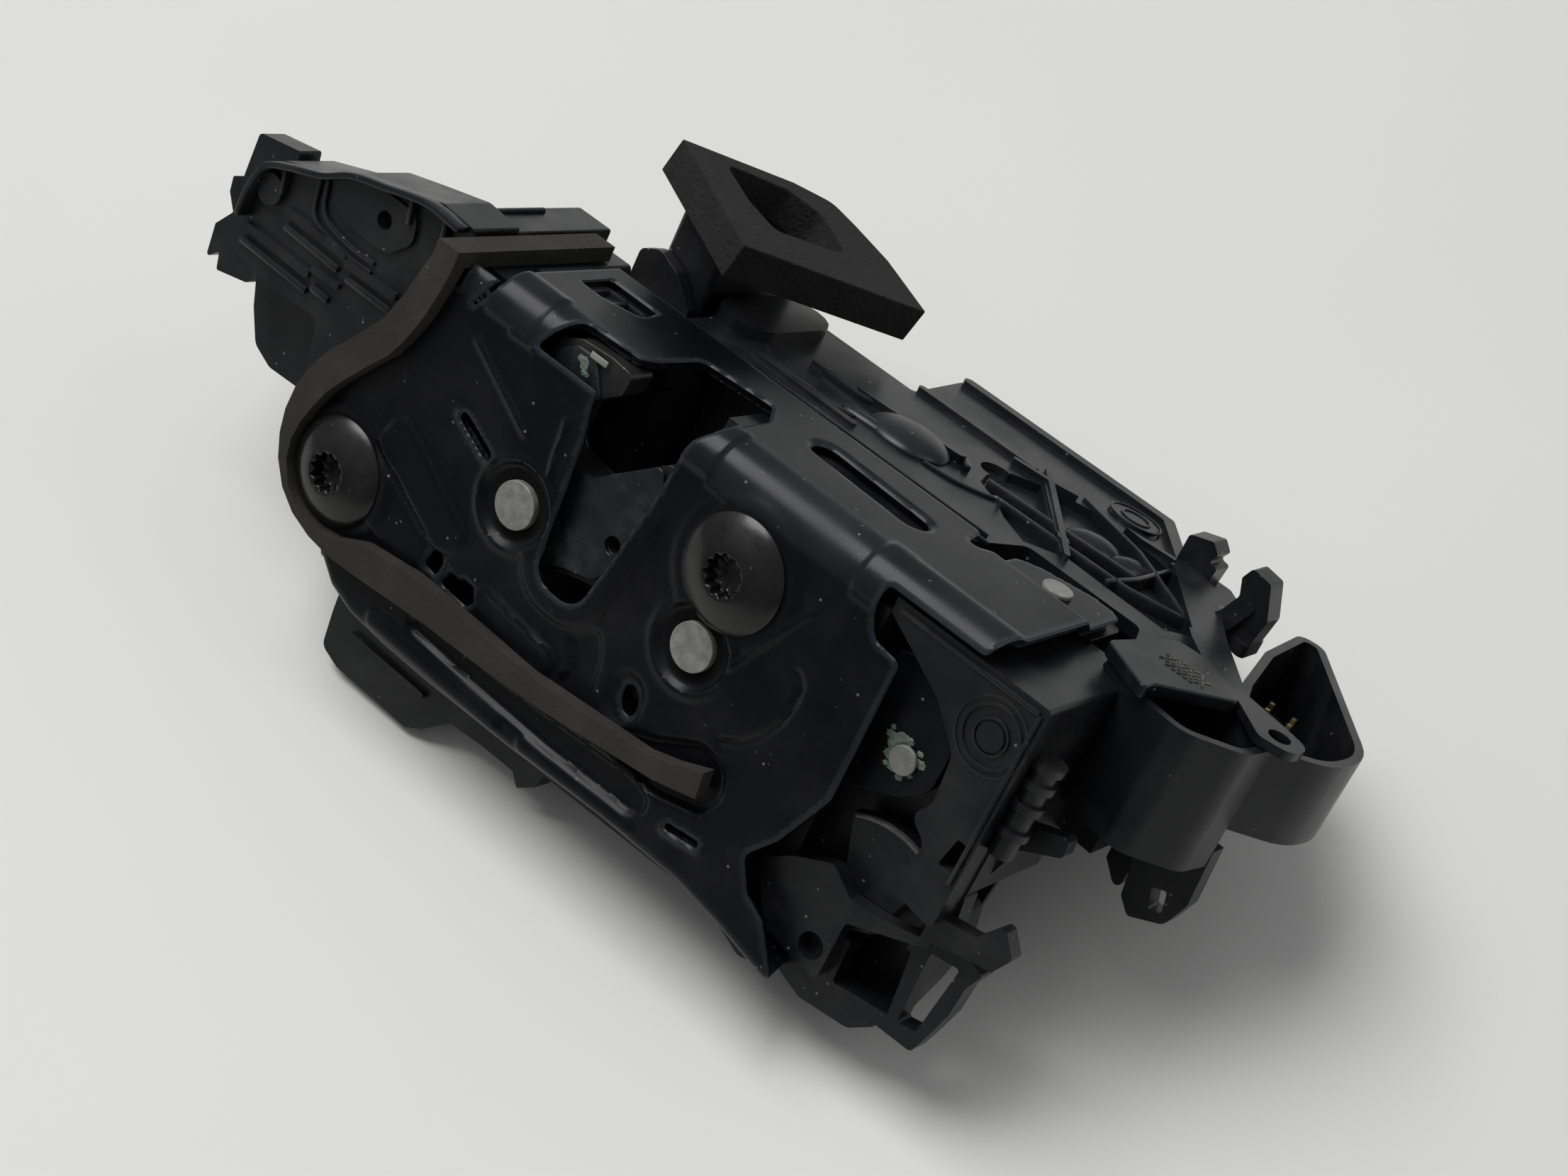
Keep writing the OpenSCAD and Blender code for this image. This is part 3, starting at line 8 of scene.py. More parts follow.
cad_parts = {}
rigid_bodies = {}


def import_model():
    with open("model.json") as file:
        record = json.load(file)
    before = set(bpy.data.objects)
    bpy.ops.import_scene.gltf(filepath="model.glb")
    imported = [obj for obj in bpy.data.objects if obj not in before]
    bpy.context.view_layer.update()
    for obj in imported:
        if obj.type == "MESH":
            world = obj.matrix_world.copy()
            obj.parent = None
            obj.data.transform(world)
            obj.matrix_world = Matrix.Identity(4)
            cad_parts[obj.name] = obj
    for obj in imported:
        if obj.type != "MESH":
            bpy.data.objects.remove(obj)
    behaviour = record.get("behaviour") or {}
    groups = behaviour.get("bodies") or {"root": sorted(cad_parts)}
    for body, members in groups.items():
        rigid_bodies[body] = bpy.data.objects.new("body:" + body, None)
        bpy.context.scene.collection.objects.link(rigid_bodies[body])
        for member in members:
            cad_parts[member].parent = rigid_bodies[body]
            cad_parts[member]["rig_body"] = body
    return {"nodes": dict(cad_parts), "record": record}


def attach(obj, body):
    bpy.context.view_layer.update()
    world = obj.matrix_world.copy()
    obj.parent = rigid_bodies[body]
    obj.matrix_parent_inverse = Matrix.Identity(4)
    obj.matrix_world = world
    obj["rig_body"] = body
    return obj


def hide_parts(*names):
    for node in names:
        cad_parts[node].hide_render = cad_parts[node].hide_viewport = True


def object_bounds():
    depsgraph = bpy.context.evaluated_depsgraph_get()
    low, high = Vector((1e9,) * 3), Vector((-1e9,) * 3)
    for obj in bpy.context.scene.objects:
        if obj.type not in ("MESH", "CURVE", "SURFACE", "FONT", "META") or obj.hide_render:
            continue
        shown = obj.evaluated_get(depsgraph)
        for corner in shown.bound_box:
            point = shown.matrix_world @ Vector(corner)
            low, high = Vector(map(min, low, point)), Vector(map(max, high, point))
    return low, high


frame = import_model()
solid_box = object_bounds()
MM = 0.001

# The camera looks down on the face plate from beyond its connector end.
# Its place and turn were found from the plate's fold and the two door screws.
camera_right = Vector((0.7207, 0.4004, -0.5659))
camera_up = Vector((-0.5568, 0.8206, -0.1286))
camera_back = camera_right.cross(camera_up)
bpy.ops.object.select_all(action="DESELECT")
bpy.ops.object.camera_add()
camera = bpy.context.object
camera.name = "view"
camera.matrix_world = Matrix.Translation((0.2187, 0.1869, 0.3350)) @ Matrix(
    (camera_right, camera_up, camera_back)).transposed().to_4x4()
camera.data.lens = 60.3
camera.data.sensor_width = 36
bpy.context.scene.camera = camera
bpy.context.scene.view_settings.view_transform = "Standard"


# The lock lies on a pale sheet, on the lower tab, the far end of the side leg and the lever bay.
# The sheet faces the side that the lock rests on, and it isn't seen from below.
def shader_node(tree, kind, values=None, **settings):
    """Adds a node, sets its inputs by name or number, and links those that are given as sockets."""
    made = tree.nodes.new("ShaderNode" + kind)
    for key, value in settings.items():
        setattr(made, key, value)
    for key, value in (values or {}).items():
        if isinstance(value, bpy.types.NodeSocket):
            tree.links.new(value, made.inputs[key])
        else:
            made.inputs[key].default_value = value
    return made


def mixed_colour(tree, share, first, second):
    """The colour that lies between two colours by a share."""
    return shader_node(tree, "Mix", {0: share, 6: first, 7: second}, data_type="RGBA").outputs[2]


def placed_along(middle, way):
    """The place of an object that stands at a point, with its own Z along a direction."""
    return Matrix.Translation(middle) @ way.to_track_quat("Z", "Y").to_matrix().to_4x4()


floor_up = Vector((-0.015, 0.821, 0.571)).normalized()
floor_level = min(floor_up.dot(corner.co)
                  for node in frame["nodes"].values() for corner in node.data.vertices)
lock_middle = (solid_box[0] + solid_box[1]) / 2
floor_middle = lock_middle + floor_up * (floor_level - floor_up.dot(lock_middle))
sheet_dark = (0.56, 0.56, 0.54, 1)
sheet_light = (0.61, 0.61, 0.59, 1)
bpy.ops.object.select_all(action="DESELECT")
bpy.ops.mesh.primitive_plane_add(size=5)
floor = bpy.context.object
floor.name = "floor"
floor.matrix_world = placed_along(floor_middle, floor_up)
floor_paint = bpy.data.materials.new("pale_sheet")
floor_paint.use_nodes = True
tree = floor_paint.node_tree
tree.nodes.clear()
place = shader_node(tree, "TexCoord").outputs["Object"]
clouds = shader_node(tree, "TexNoise", {"Vector": place, "Scale": 5.0, "Detail": 5.0})
tone = mixed_colour(tree, clouds.outputs["Fac"], sheet_dark, sheet_light)
paint = shader_node(tree, "BsdfPrincipled", {"Base Color": tone, "Roughness": 0.55})
clear = shader_node(tree, "BsdfTransparent")
facing = shader_node(tree, "NewGeometry")
either = shader_node(tree, "MixShader", {0: facing.outputs["Backfacing"], 1: paint.outputs[0],
                                         2: clear.outputs[0]})
shader_node(tree, "OutputMaterial", {"Surface": either.outputs[0]})
floor.data.materials.append(floor_paint)

# Soft daylight: one wide lamp high on the left of the view, a weaker one from the right, and a room
# that is brighter above than below, so that the black surfaces show their form.
def spread(tree, value, low, high, to_low=0.0, to_high=1.0):
    """Stretches the part of a value between two levels to another span, and holds it there."""
    return shader_node(tree, "MapRange", {"Value": value, "From Min": low, "From Max": high,
                                          "To Min": to_low, "To Max": to_high}).outputs[0]


# Each lamp: name, direction in the view as right, up and towards the camera, power, size and distance
for lamp_name, reach, power, size, distance in [
        ("window", (-0.25, 0.85, 0.60), 54, 1.5, 2.4),
        ("room_side", (0.95, 0.30, 0.75), 5, 1.2, 2.0)]:
    away = (camera_right * reach[0] + camera_up * reach[1] + camera_back * reach[2]).normalized()
    bpy.ops.object.select_all(action="DESELECT")
    bpy.ops.object.light_add(type="AREA")
    lamp = bpy.context.object
    lamp.name = lamp_name
    lamp.matrix_world = placed_along(lock_middle + away * distance, away)
    lamp.data.energy = power
    lamp.data.size = size
room = bpy.data.worlds.new("room")
bpy.context.scene.world = room
room.use_nodes = True
tree = room.node_tree
tree.nodes.clear()
heading = shader_node(tree, "TexCoord").outputs["Generated"]
brighter_way = tuple(floor_up + camera_up * 0.5)
height = shader_node(tree, "VectorMath", {0: heading, 1: brighter_way}, operation="DOT_PRODUCT")
level = spread(tree, height.outputs["Value"], -0.4, 1.2, to_low=0.06, to_high=0.40)
glow = shader_node(tree, "Background", {"Color": (0.96, 0.98, 1.0, 1), "Strength": level})
shader_node(tree, "OutputWorld", {"Surface": glow.outputs[0]})


# Latch housing: one black moulding of glass-filled plastic behind the plate. It holds the latch, and the
# ear at its far end and the lever bay at its near end belong to it. Its skin is finely grained and dusty.
def effect_group(name, inputs, outputs):
    """An empty node group with named values as its inputs and outputs."""
    tree = bpy.data.node_groups.new(name, "ShaderNodeTree")
    for socket, value in inputs.items():
        tree.interface.new_socket(socket, in_out="INPUT", socket_type="NodeSocketFloat").default_value = value
    for socket in outputs:
        tree.interface.new_socket(socket, in_out="OUTPUT", socket_type="NodeSocketFloat")
    return tree, tree.nodes.new("NodeGroupInput").outputs, tree.nodes.new("NodeGroupOutput")


def use_group(tree, group, values):
    """Places a node group in a material."""
    placed = tree.nodes.new("ShaderNodeGroup")
    placed.node_tree = group
    for key, value in values.items():
        placed.inputs[key].default_value = value
    return placed.outputs


def mixed_value(tree, share, first, second):
    """The value that lies between two values by a share."""
    return shader_node(tree, "Mix", {0: share, 2: first, 3: second}, data_type="FLOAT").outputs[0]


def combined(tree, operation, first, second, **settings):
    """The sum or the product of two values."""
    return shader_node(tree, "Math", {0: first, 1: second}, operation=operation, **settings).outputs[0]


# Dust: a thin uneven film with bright specks in it
dust_group, given, result = effect_group("dust", {"Film": 0.3, "Specks": 0.5}, ["Mask"])
place = shader_node(dust_group, "TexCoord").outputs["Object"]
cloud = shader_node(dust_group, "TexNoise", {"Vector": place, "Scale": 60.0, "Detail": 6.0,
                                             "Roughness": 0.65})
patch = spread(dust_group, cloud.outputs["Fac"], 0.48, 0.78)
film = combined(dust_group, "MULTIPLY", patch, given["Film"])
cells = shader_node(dust_group, "TexVoronoi", {"Vector": place, "Scale": 420.0, "Randomness": 1.0})
spot = spread(dust_group, cells.outputs["Distance"], 0.13, 0.06)
rare = shader_node(dust_group, "TexNoise", {"Vector": place, "Scale": 210.0, "Detail": 2.0})
pick = spread(dust_group, rare.outputs["Fac"], 0.55, 0.61)
speck = combined(dust_group, "MULTIPLY", spot, pick)
speck = combined(dust_group, "MULTIPLY", speck, given["Specks"])
both = combined(dust_group, "ADD", film, speck, use_clamp=True)
dust_group.links.new(both, result.inputs["Mask"])

# Grain: the fine spark-eroded texture that a mould leaves, over slow waves of flow
grain_group, given, result = effect_group("grain", {"Fine": 2600.0, "Coarse": 90.0}, ["Height", "Patches"])
place = shader_node(grain_group, "TexCoord").outputs["Object"]
fine = shader_node(grain_group, "TexNoise", {"Vector": place, "Scale": given["Fine"], "Detail": 3.0})
coarse = shader_node(grain_group, "TexNoise", {"Vector": place, "Scale": given["Coarse"], "Detail": 4.0})
waves = combined(grain_group, "MULTIPLY", coarse.outputs["Fac"], 0.8)
relief = combined(grain_group, "ADD", fine.outputs["Fac"], waves)
grain_group.links.new(relief, result.inputs["Height"])
grain_group.links.new(coarse.outputs["Fac"], result.inputs["Patches"])

dust_grey = (0.30, 0.29, 0.27, 1)
# Painted shade: the near-black tone below, and the roughness two lines down, are painted where a piece's
# shade value is above 0, to darken recesses as shade does
painted_shade_tone = (0.002, 0.002, 0.002, 1)
dusty_rough = 0.85
painted_shade_rough = 0.9


def grained(name, dark, light, rough, film, specks, bump, dust_tone=dust_grey, metallic=0.0,
            fine=2600.0, coarse=90.0, sheen=0.4, rubbed_and_highlit=None):
    """A material of two near tones in patches, with grain, and dust on top. Where the piece's own rubbing
    and highlight value is above 0 a lighter tone shows, partly rubbed coat and partly a painted
    highlight, and where its painted shade value is above 0 the colour is painted dark and dull, as shade."""
    made = bpy.data.materials.new(name)
    made.use_nodes = True
    tree = made.node_tree
    tree.nodes.clear()
    grain = use_group(tree, grain_group, {"Fine": fine, "Coarse": coarse})
    dust = use_group(tree, dust_group, {"Film": film, "Specks": specks})
    tone = mixed_colour(tree, grain["Patches"], (*dark, 1), (*light, 1))
    colour = mixed_colour(tree, dust["Mask"], tone, dust_tone)
    shine = spread(tree, grain["Patches"], 0.3, 0.7, to_low=rough - 0.07, to_high=rough + 0.08)
    roughness = mixed_value(tree, dust["Mask"], shine, dusty_rough)
    relief = shader_node(tree, "Bump", {"Height": grain["Height"], "Strength": 1.0, "Distance": bump * MM})
    if rubbed_and_highlit:
        # This value paints the colour lighter, partly as rubbed coat and partly as a painted highlight
        rubbed_and_highlit_node = shader_node(tree, "Attribute", attribute_name="rubbed_and_highlit")
        # This value paints shade: the colour goes near-black and dull where it is above 0
        painted_shade_node = shader_node(tree, "Attribute", attribute_name="painted_shade")
        rubbed = combined(tree, "MULTIPLY", rubbed_and_highlit_node.outputs["Fac"], grain["Patches"])
        colour = mixed_colour(tree, rubbed, colour, (*rubbed_and_highlit, 1))
        colour = mixed_colour(tree, painted_shade_node.outputs["Fac"], colour, painted_shade_tone)
        roughness = mixed_value(tree, painted_shade_node.outputs["Fac"], roughness, painted_shade_rough)
    skin = shader_node(tree, "BsdfPrincipled", {
        "Base Color": colour, "Roughness": roughness, "Metallic": metallic, "Specular IOR Level": sheen,
        "Normal": relief.outputs[0]})
    shader_node(tree, "OutputMaterial", {"Surface": skin.outputs[0]})
    return made


def edged_copy(node, name, radius, skin, steps=2, from_angle=28, pockets=()):
    """A copy of a solid with its edges rounded, as a mould or press leaves them. It stands for the solid.
    Pockets are closed pieces that are cut out of it."""
    bpy.ops.object.select_all(action="DESELECT")
    piece = bpy.data.objects.new(name, frame["nodes"][node].data.copy())
    bpy.context.scene.collection.objects.link(piece)
    bpy.context.view_layer.objects.active = piece
    piece.select_set(True)
    bpy.ops.object.mode_set(mode="EDIT")
    bpy.ops.mesh.select_all(action="SELECT")
    bpy.ops.mesh.remove_doubles(threshold=0.002 * MM)
    bpy.ops.mesh.dissolve_limited(angle_limit=math.radians(0.6))
    bpy.ops.object.mode_set(mode="OBJECT")
    for pocket in pockets:
        cut = piece.modifiers.new("pocket", "BOOLEAN")
        cut.operation = "DIFFERENCE"
        cut.solver = "EXACT"
        cut.object = pocket
        bpy.ops.object.modifier_apply(modifier=cut.name)
        bpy.data.objects.remove(pocket)
    if radius > 0:
        edge = piece.modifiers.new("edge", "BEVEL")
        edge.width = radius * MM
        edge.segments = steps
        edge.limit_method = "ANGLE"
        edge.angle_limit = math.radians(from_angle)
        edge.miter_outer = "MITER_ARC"
        bpy.ops.object.modifier_apply(modifier=edge.name)
    bpy.ops.object.shade_smooth_by_angle(angle=math.radians(35))
    flats = piece.modifiers.new("flats", "WEIGHTED_NORMAL")
    flats.keep_sharp = True
    bpy.ops.object.modifier_apply(modifier=flats.name)
    piece.data.materials.clear()
    piece.data.materials.append(skin)
    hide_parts(node)
    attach(piece, frame["nodes"][node]["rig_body"])
    return piece


slot_of = {part["node"]: part["material_slot"] for part in frame["record"]["subparts"]}
black_plastic = grained("black_plastic", (0.0030, 0.0033, 0.0045), (0.0065, 0.007, 0.009), 0.33, 0.05, 0.45,
                        0.010)
edged_copy("latch_housing", "housing_moulding", 0.3, black_plastic)
edged_copy("housing_ear", "ear_moulding", 0.3, black_plastic)
edged_copy("lever_bay", "bay_moulding", 0.3, black_plastic)


# Ear of the housing: a thin rim stands round its upper edge, low arcs follow the oval pad, and ribs run along
# it. They are moulded with the ear, of the same black plastic.
def eased(points, steps=6):
    """A smooth line through the points."""
    points = [np.array(point, float) for point in points]
    guides = [2 * points[0] - points[1]] + points + [2 * points[-1] - points[-2]]
    line = []
    for before, start, end, after in zip(guides, guides[1:], guides[2:], guides[3:]):
        for t in np.arange(steps) / steps:
            line.append(0.5 * (2 * start + (end - before) * t
                               + (2 * before - 5 * start + 4 * end - after) * t ** 2
                               + (3 * start - before - 3 * end + after) * t ** 3))
    return line + [points[-1]]


def wall(path, rise, thick):
    """A thin rib that stands on a line of points, with rounded edges."""
    bpy.ops.object.select_all(action="DESELECT")
    bpy.ops.mesh.primitive_grid_add(x_subdivisions=len(path) - 1, y_subdivisions=1, size=2)
    rib = bpy.context.object
    for corner in rib.data.vertices:
        foot = Vector(path[round((corner.co.x + 1) / 2 * (len(path) - 1))])
        corner.co = (foot + (Vector(rise) if corner.co.y > 0 else Vector())) * MM
    for kind, settings in [("SOLIDIFY", {"thickness": thick * MM, "offset": 0, "use_even_offset": True}),
                           ("BEVEL", {"width": 0.3 * thick * MM, "segments": 2})]:
        step = rib.modifiers.new("step", kind)
        for key, value in settings.items():
            setattr(step, key, value)
        bpy.ops.object.modifier_apply(modifier=step.name)
    return rib


def joined(pieces, name, skin, body="lock_body"):
    """Joins pieces of one moulding, smooths them and gives them their skin."""
    bpy.ops.object.select_all(action="DESELECT")
    for piece in pieces:
        piece.select_set(True)
    whole = pieces[0]
    bpy.context.view_layer.objects.active = whole
    if len(pieces) > 1:
        bpy.ops.object.join()
    bpy.ops.object.transform_apply(location=True, rotation=True, scale=True)
    bpy.ops.object.shade_smooth_by_angle(angle=math.radians(40))
    whole.name = name
    whole.data.materials.clear()
    whole.data.materials.append(skin)
    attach(whole, body)
    return whole


def on_ear(line):
    """A line of places on the ear, at the level where its ribs stand."""
    return [(*place, ear_level) for place in line]


ear_level = -6.1
rim_line = [(-85.6, 9.5), (-85.2, 15), (-83.2, 20.6), (-78, 23.2), (-70.2, 25.9), (-64, 29.3), (-56.2, 31.4),
            (-46.4, 33.7), (-38, 33.3)]
rim_rise, rim_thick = 3.0, 1.3
rib_thick = 1.5
long_ribs = [([(-84.6, 5.2), (-66, 5.0)], 1.0), ([(-76, 12.6), (-61, 12.2)], 0.9),
             ([(-58.8, 11.8), (-47, 12)], 0.9), ([(-65.6, 6.2), (-60.6, 6.1)], 0.9)]
arc_rise, arc_thick = 0.7, 0.9
rim_foot_rise, rim_foot_thick = 1.6, 1.0
ear_parts = [wall(on_ear(eased(rim_line)), (0, 0, rim_rise), rim_thick)]
for line, rise in long_ribs:
    ear_parts.append(wall(on_ear(line), (0, 0, rise), rib_thick))
for away in (1.6, 3.4):
    arc = [(-68.6 - away, 25.2), (-66.6 - away, 21 - away), (-61.5, 19 - away), (-54, 19 - away)]
    ear_parts.append(wall(on_ear(eased(arc)), (0, 0, arc_rise), arc_thick))
for foot_x, foot_y in ((-79.5, 22.2), (-50.6, 32.4), (-42.4, 33.2)):
    foot = on_ear([(foot_x, foot_y), (foot_x + 1.0, foot_y - 4.6)])
    ear_parts.append(wall(foot, (0, 0, rim_foot_rise), rim_foot_thick))
joined(ear_parts, "ear_ribs", black_plastic)

# Screw boss of the ear: a plain tube behind the ear's hole, for a screw. It is moulded in the hollow of
# the ear, of the same plastic.
ear_hole = (-55, 25.6)
boss_r = 3.2
boss_wall = 1.4
boss_top = -8
boss_length = 9
bpy.ops.object.select_all(action="DESELECT")
bpy.ops.mesh.primitive_cylinder_add(
    vertices=32, radius=boss_r * MM, depth=boss_length * MM, end_fill_type="NOTHING",
    location=(ear_hole[0] * MM, ear_hole[1] * MM, (boss_top - boss_length / 2) * MM))
boss = bpy.context.object
tube = boss.modifiers.new("tube", "SOLIDIFY")
tube.thickness = boss_wall * MM
tube.offset = -1
bpy.ops.object.modifier_apply(modifier=tube.name)
joined([boss], "ear_boss", black_plastic)


# Window frame: a small ladder with two square openings stands under the flange's window. It is moulded
# with the housing, of the same plastic.
ladder_foot = 30.2
ladder_rise, ladder_thick = 2.0, 1.3
rails = [[(-19.6, -24.4), (-8.8, -24.2)], [(-19.6, -18.4), (-9, -19.4)]]
rungs = [[(rung_x, -24.6), (rung_x, rung_end)]
         for rung_x, rung_end in ((-19.2, -18), (-14.6, -18.6), (-10, -19))]
ladder = []
for line in rails + rungs:
    foot = [(px, ladder_foot, pz) for px, pz in line]
    ladder.append(wall(foot, (0, ladder_rise, 0), ladder_thick))
joined(ladder, "window_ladder", black_plastic)


# Lever bay of the housing: three fine rings are moulded round the blind boss, raised lines edge the panel,
# and a slanted sheet stands deep in the bay. All are of the same plastic.
def around(radius, steps):
    """A line of points round a circle, which overlaps itself a little where it closes."""
    return [(radius * math.cos(turn), radius * math.sin(turn)) for turn in np.linspace(0, 6.3, steps)]


bay_face = -2.5
blind_boss = (90.2, 19.5)
bay_parts = []
for radius, rise in ((6.4, 0.3), (3.0, 0.5), (1.4, 0.6)):
    ring = [(blind_boss[0] + px, blind_boss[1] + py, bay_face) for px, py in around(radius, 41)]
    bay_parts.append(wall(ring, (0, 0, rise), 0.45))
for line in ([(67.6, 27.4), (95.4, 27.4)], [(95.6, 27.2), (95.6, -5)]):
    bay_parts.append(wall([(*place, bay_face) for place in line], (0, 0, 0.7), 0.8))
inner_sheet = [(84.5, -38, -24), (90.5, -37.4, -24), (93.4, -33, -24)]
bay_parts.append(wall(inner_sheet, (1.5, 22, 0), 1.2))
joined(bay_parts, "bay_ribs", black_plastic)


# Side leg: a deep casing at a right angle to the latch, with the key's column, two plug funnels and a cap.
# They are moulded of the same plastic and clipped together. The key's tail turns inside the column.
edged_copy("side_housing", "side_leg", 0.3, black_plastic)
edged_copy("cylinder_column", "key_column", 0.3, black_plastic)
edged_copy("connector_shroud", "plug_funnels", 0.3, black_plastic)
edged_copy("shroud_cap", "funnel_cap", 0.35, black_plastic)
edged_copy("key_cam", "key_tail", 0.2, black_plastic)

# Cover of the side leg: a thin moulding that is clipped on. Low walls run beside the plate's flange, ribs
# stiffen two shallow pockets, and smooth bulges clear the drive under it.
deck = 31.0
pocket_floor = deck - 1.7
pocket_edges = [
    [(44.6, -59.4), (46, -55), (51.4, -52), (56, -48), (62.6, -44.4), (67.6, -48.6), (50, -70.4),
     (45.6, -66.6)],
    [(69.2, -49.8), (75.6, -49.4), (90, -49), (92.6, -53.2), (77.6, -72.6), (62, -75.6), (51.6, -71.8)]]


def pocket(corners, low, high):
    """A closed prism over a line of corners on the cover, which is to be cut out of it."""
    bpy.ops.object.select_all(action="DESELECT")
    bpy.ops.mesh.primitive_circle_add(vertices=len(corners), radius=1, fill_type="NGON")
    block = bpy.context.object
    for corner, (px, pz) in zip(block.data.vertices, corners):
        corner.co = Vector((px, low, pz)) * MM
    bpy.ops.object.mode_set(mode="EDIT")
    bpy.ops.mesh.select_all(action="SELECT")
    bpy.ops.mesh.extrude_region_move(TRANSFORM_OT_translate={"value": (0, (high - low) * MM, 0)})
    bpy.ops.mesh.select_all(action="SELECT")
    bpy.ops.mesh.normals_make_consistent(inside=False)
    bpy.ops.object.mode_set(mode="OBJECT")
    return block


above_cover = deck + 3
edged_copy("side_cover", "side_cover_moulding", 0.25, black_plastic,
           pockets=[pocket(corners, pocket_floor, above_cover) for corners in pocket_edges])


def bulge(x, z, long, wide, tall, turn=0.0, level=deck):
    """A smooth low dome on the cover."""
    bpy.ops.object.select_all(action="DESELECT")
    bpy.ops.mesh.primitive_uv_sphere_add(segments=32, ring_count=16, radius=MM, rotation=(0, turn, 0),
                                         location=(x * MM, level * MM, z * MM))
    dome = bpy.context.object
    dome.scale = (long, tall, wide)
    bpy.ops.object.transform_apply(location=True, rotation=True, scale=True)
    return dome


def at_level(level, line):
    """A line of places given by x and z, which all lie at one level along y."""
    return [(px, level, pz) for px, pz in line]


sunk = 0.1
cover_parts = [bulge(32, -51.5, 8.4, 7.0, 2.4), bulge(66, -64.6, 5.6, 4.0, 2.2, 0.4, pocket_floor),
               bulge(73.4, -66.2, 4.6, 3.0, 1.8, 0.9, pocket_floor), bulge(26, -46.6, 6, 1.6, 1.2, 0.1)]

# Each low wall on the deck: its line, height and thickness
for line, rise, thick in [
        ([(-7, -33.6), (62, -33.6)], 0.9, 0.7), ([(4, -36.2), (60, -36.2)], 0.9, 0.6),
        ([(3, -43.2), (18, -43), (24, -44.4)], 0.8, 1.0),
        ([(10, -53.4), (18.5, -53.4), (24, -55.6), (32, -58), (39.6, -57.4), (43, -54.6)], 1.3, 1.3),
        ([(38.6, -46.4), (44.8, -47.6), (49, -50), (52.4, -52.8)], 0.7, 1.0)]:
    cover_parts.append(wall(at_level(deck - sunk, eased(line)), (0, rise, 0), thick))
oval_x, oval_z = 64, -82.6
for radius in (2.2, 4.0):
    ring = [(oval_x + 1.3 * px, oval_z + pz) for px, pz in around(radius, 33)]
    cover_parts.append(wall(at_level(deck + 0.4, ring), (0, 0.35, 0), 0.5))
pocket_ribs = [[(49.1, -72.8), (67.8, -49.3)], [(46.6, -56.6), (78.2, -59.6)],
               [(50.8, -52.1), (79.6, -53.4), (91, -58)], [(76.6, -50.5), (78.1, -59.2), (78.2, -75.3)],
               [(56, -76.6), (72, -70.4), (89, -58.4)]]
for line in pocket_ribs:
    cover_parts.append(wall(at_level(pocket_floor - sunk, line), (0, 2.5, 0), 1.1))
joined(cover_parts, "cover_ribs", black_plastic)


# Knurl on the funnel's cap: an oval field of short raised strokes in rows, moulded with the cap. It is rubbed
# pale and full of dirt.
cap_top = max(corner.co.y for corner in frame["nodes"]["shroud_cap"].data.vertices) / MM
knurl_x, knurl_z = 101.2, -34.5
half_long, half_wide = 4.6, 3.2
stroke_half = 0.42
strokes = []
for row in range(-3, 4):
    for column in range(-4, 5):
        px, pz = column * 1.15 + (row % 2) * 0.5, row * 1.1
        if (px / half_long) ** 2 + (pz / half_wide) ** 2 < 1:
            turn = 0.9 * math.sin(5 * row + 3 * column)
            run_x, run_z = stroke_half * math.cos(turn), stroke_half * math.sin(turn)
            line = [(knurl_x + px - run_x, knurl_z + pz - run_z),
                    (knurl_x + px + run_x, knurl_z + pz + run_z)]
            strokes.append(wall(at_level(cap_top - sunk, line), (0, 0.32, 0), 0.42))
cap_dirt = grained("cap_dirt", (0.010, 0.010, 0.010), (0.05, 0.048, 0.044), 0.7, 0.6, 0.4, 0.02)
joined(strokes, "cap_knurl", cap_dirt)


# Face plate: 2 mm sheet steel, coated black. A flat blank is cut to its outline, its ribs and recesses are
# pressed, the lower edge is rolled back and the flange is folded over. The door screws hold it to the door.
# The lighter tone last in this call goes on the cut edges and over the fold, partly as rubbed coat and partly
# as a painted highlight
black_steel = grained("black_steel", (0.0018, 0.0020, 0.0031), (0.0040, 0.0044, 0.0064), 0.30, 0.025, 0.5,
                      0.008, fine=1500.0, coarse=45.0, sheen=0.17, rubbed_and_highlit=(0.05, 0.052, 0.06))


def smooth(value):
    """Zero below 0, one above 1, and a soft step between."""
    value = np.clip(value, 0, 1)
    return value * value * (3 - 2 * value)


def from_path(points, path, closed=False):
    """Distance of each point from a line of corners, and the nearest place on it."""
    path = np.array(path, float)
    ends = np.roll(path, -1, axis=0) if closed else path[1:]
    starts = path if closed else path[:-1]
    best = np.full(len(points), 1e9)
    near = np.zeros((len(points), 2))
    for start, end in zip(starts, ends):
        run = end - start
        share = np.clip(((points - start) @ run) / max(run @ run, 1e-12), 0, 1)
        foot = start + share[:, None] * run
        away = np.hypot(*(points - foot).T)
        closer = away < best
        best[closer] = away[closer]
        near[closer] = foot[closer]
    return best, near


def is_within(points, path):
    """Which points lie inside a closed line of corners."""
    path = np.array(path, float)
    inside = np.zeros(len(points), bool)
    x, y = points.T
    for (x0, y0), (x1, y1) in zip(path, np.roll(path, -1, axis=0)):
        if y0 != y1:
            crosses = ((y0 > y) != (y1 > y)) & (x < (x1 - x0) * (y - y0) / (y1 - y0) + x0)
            inside ^= crosses
    return inside


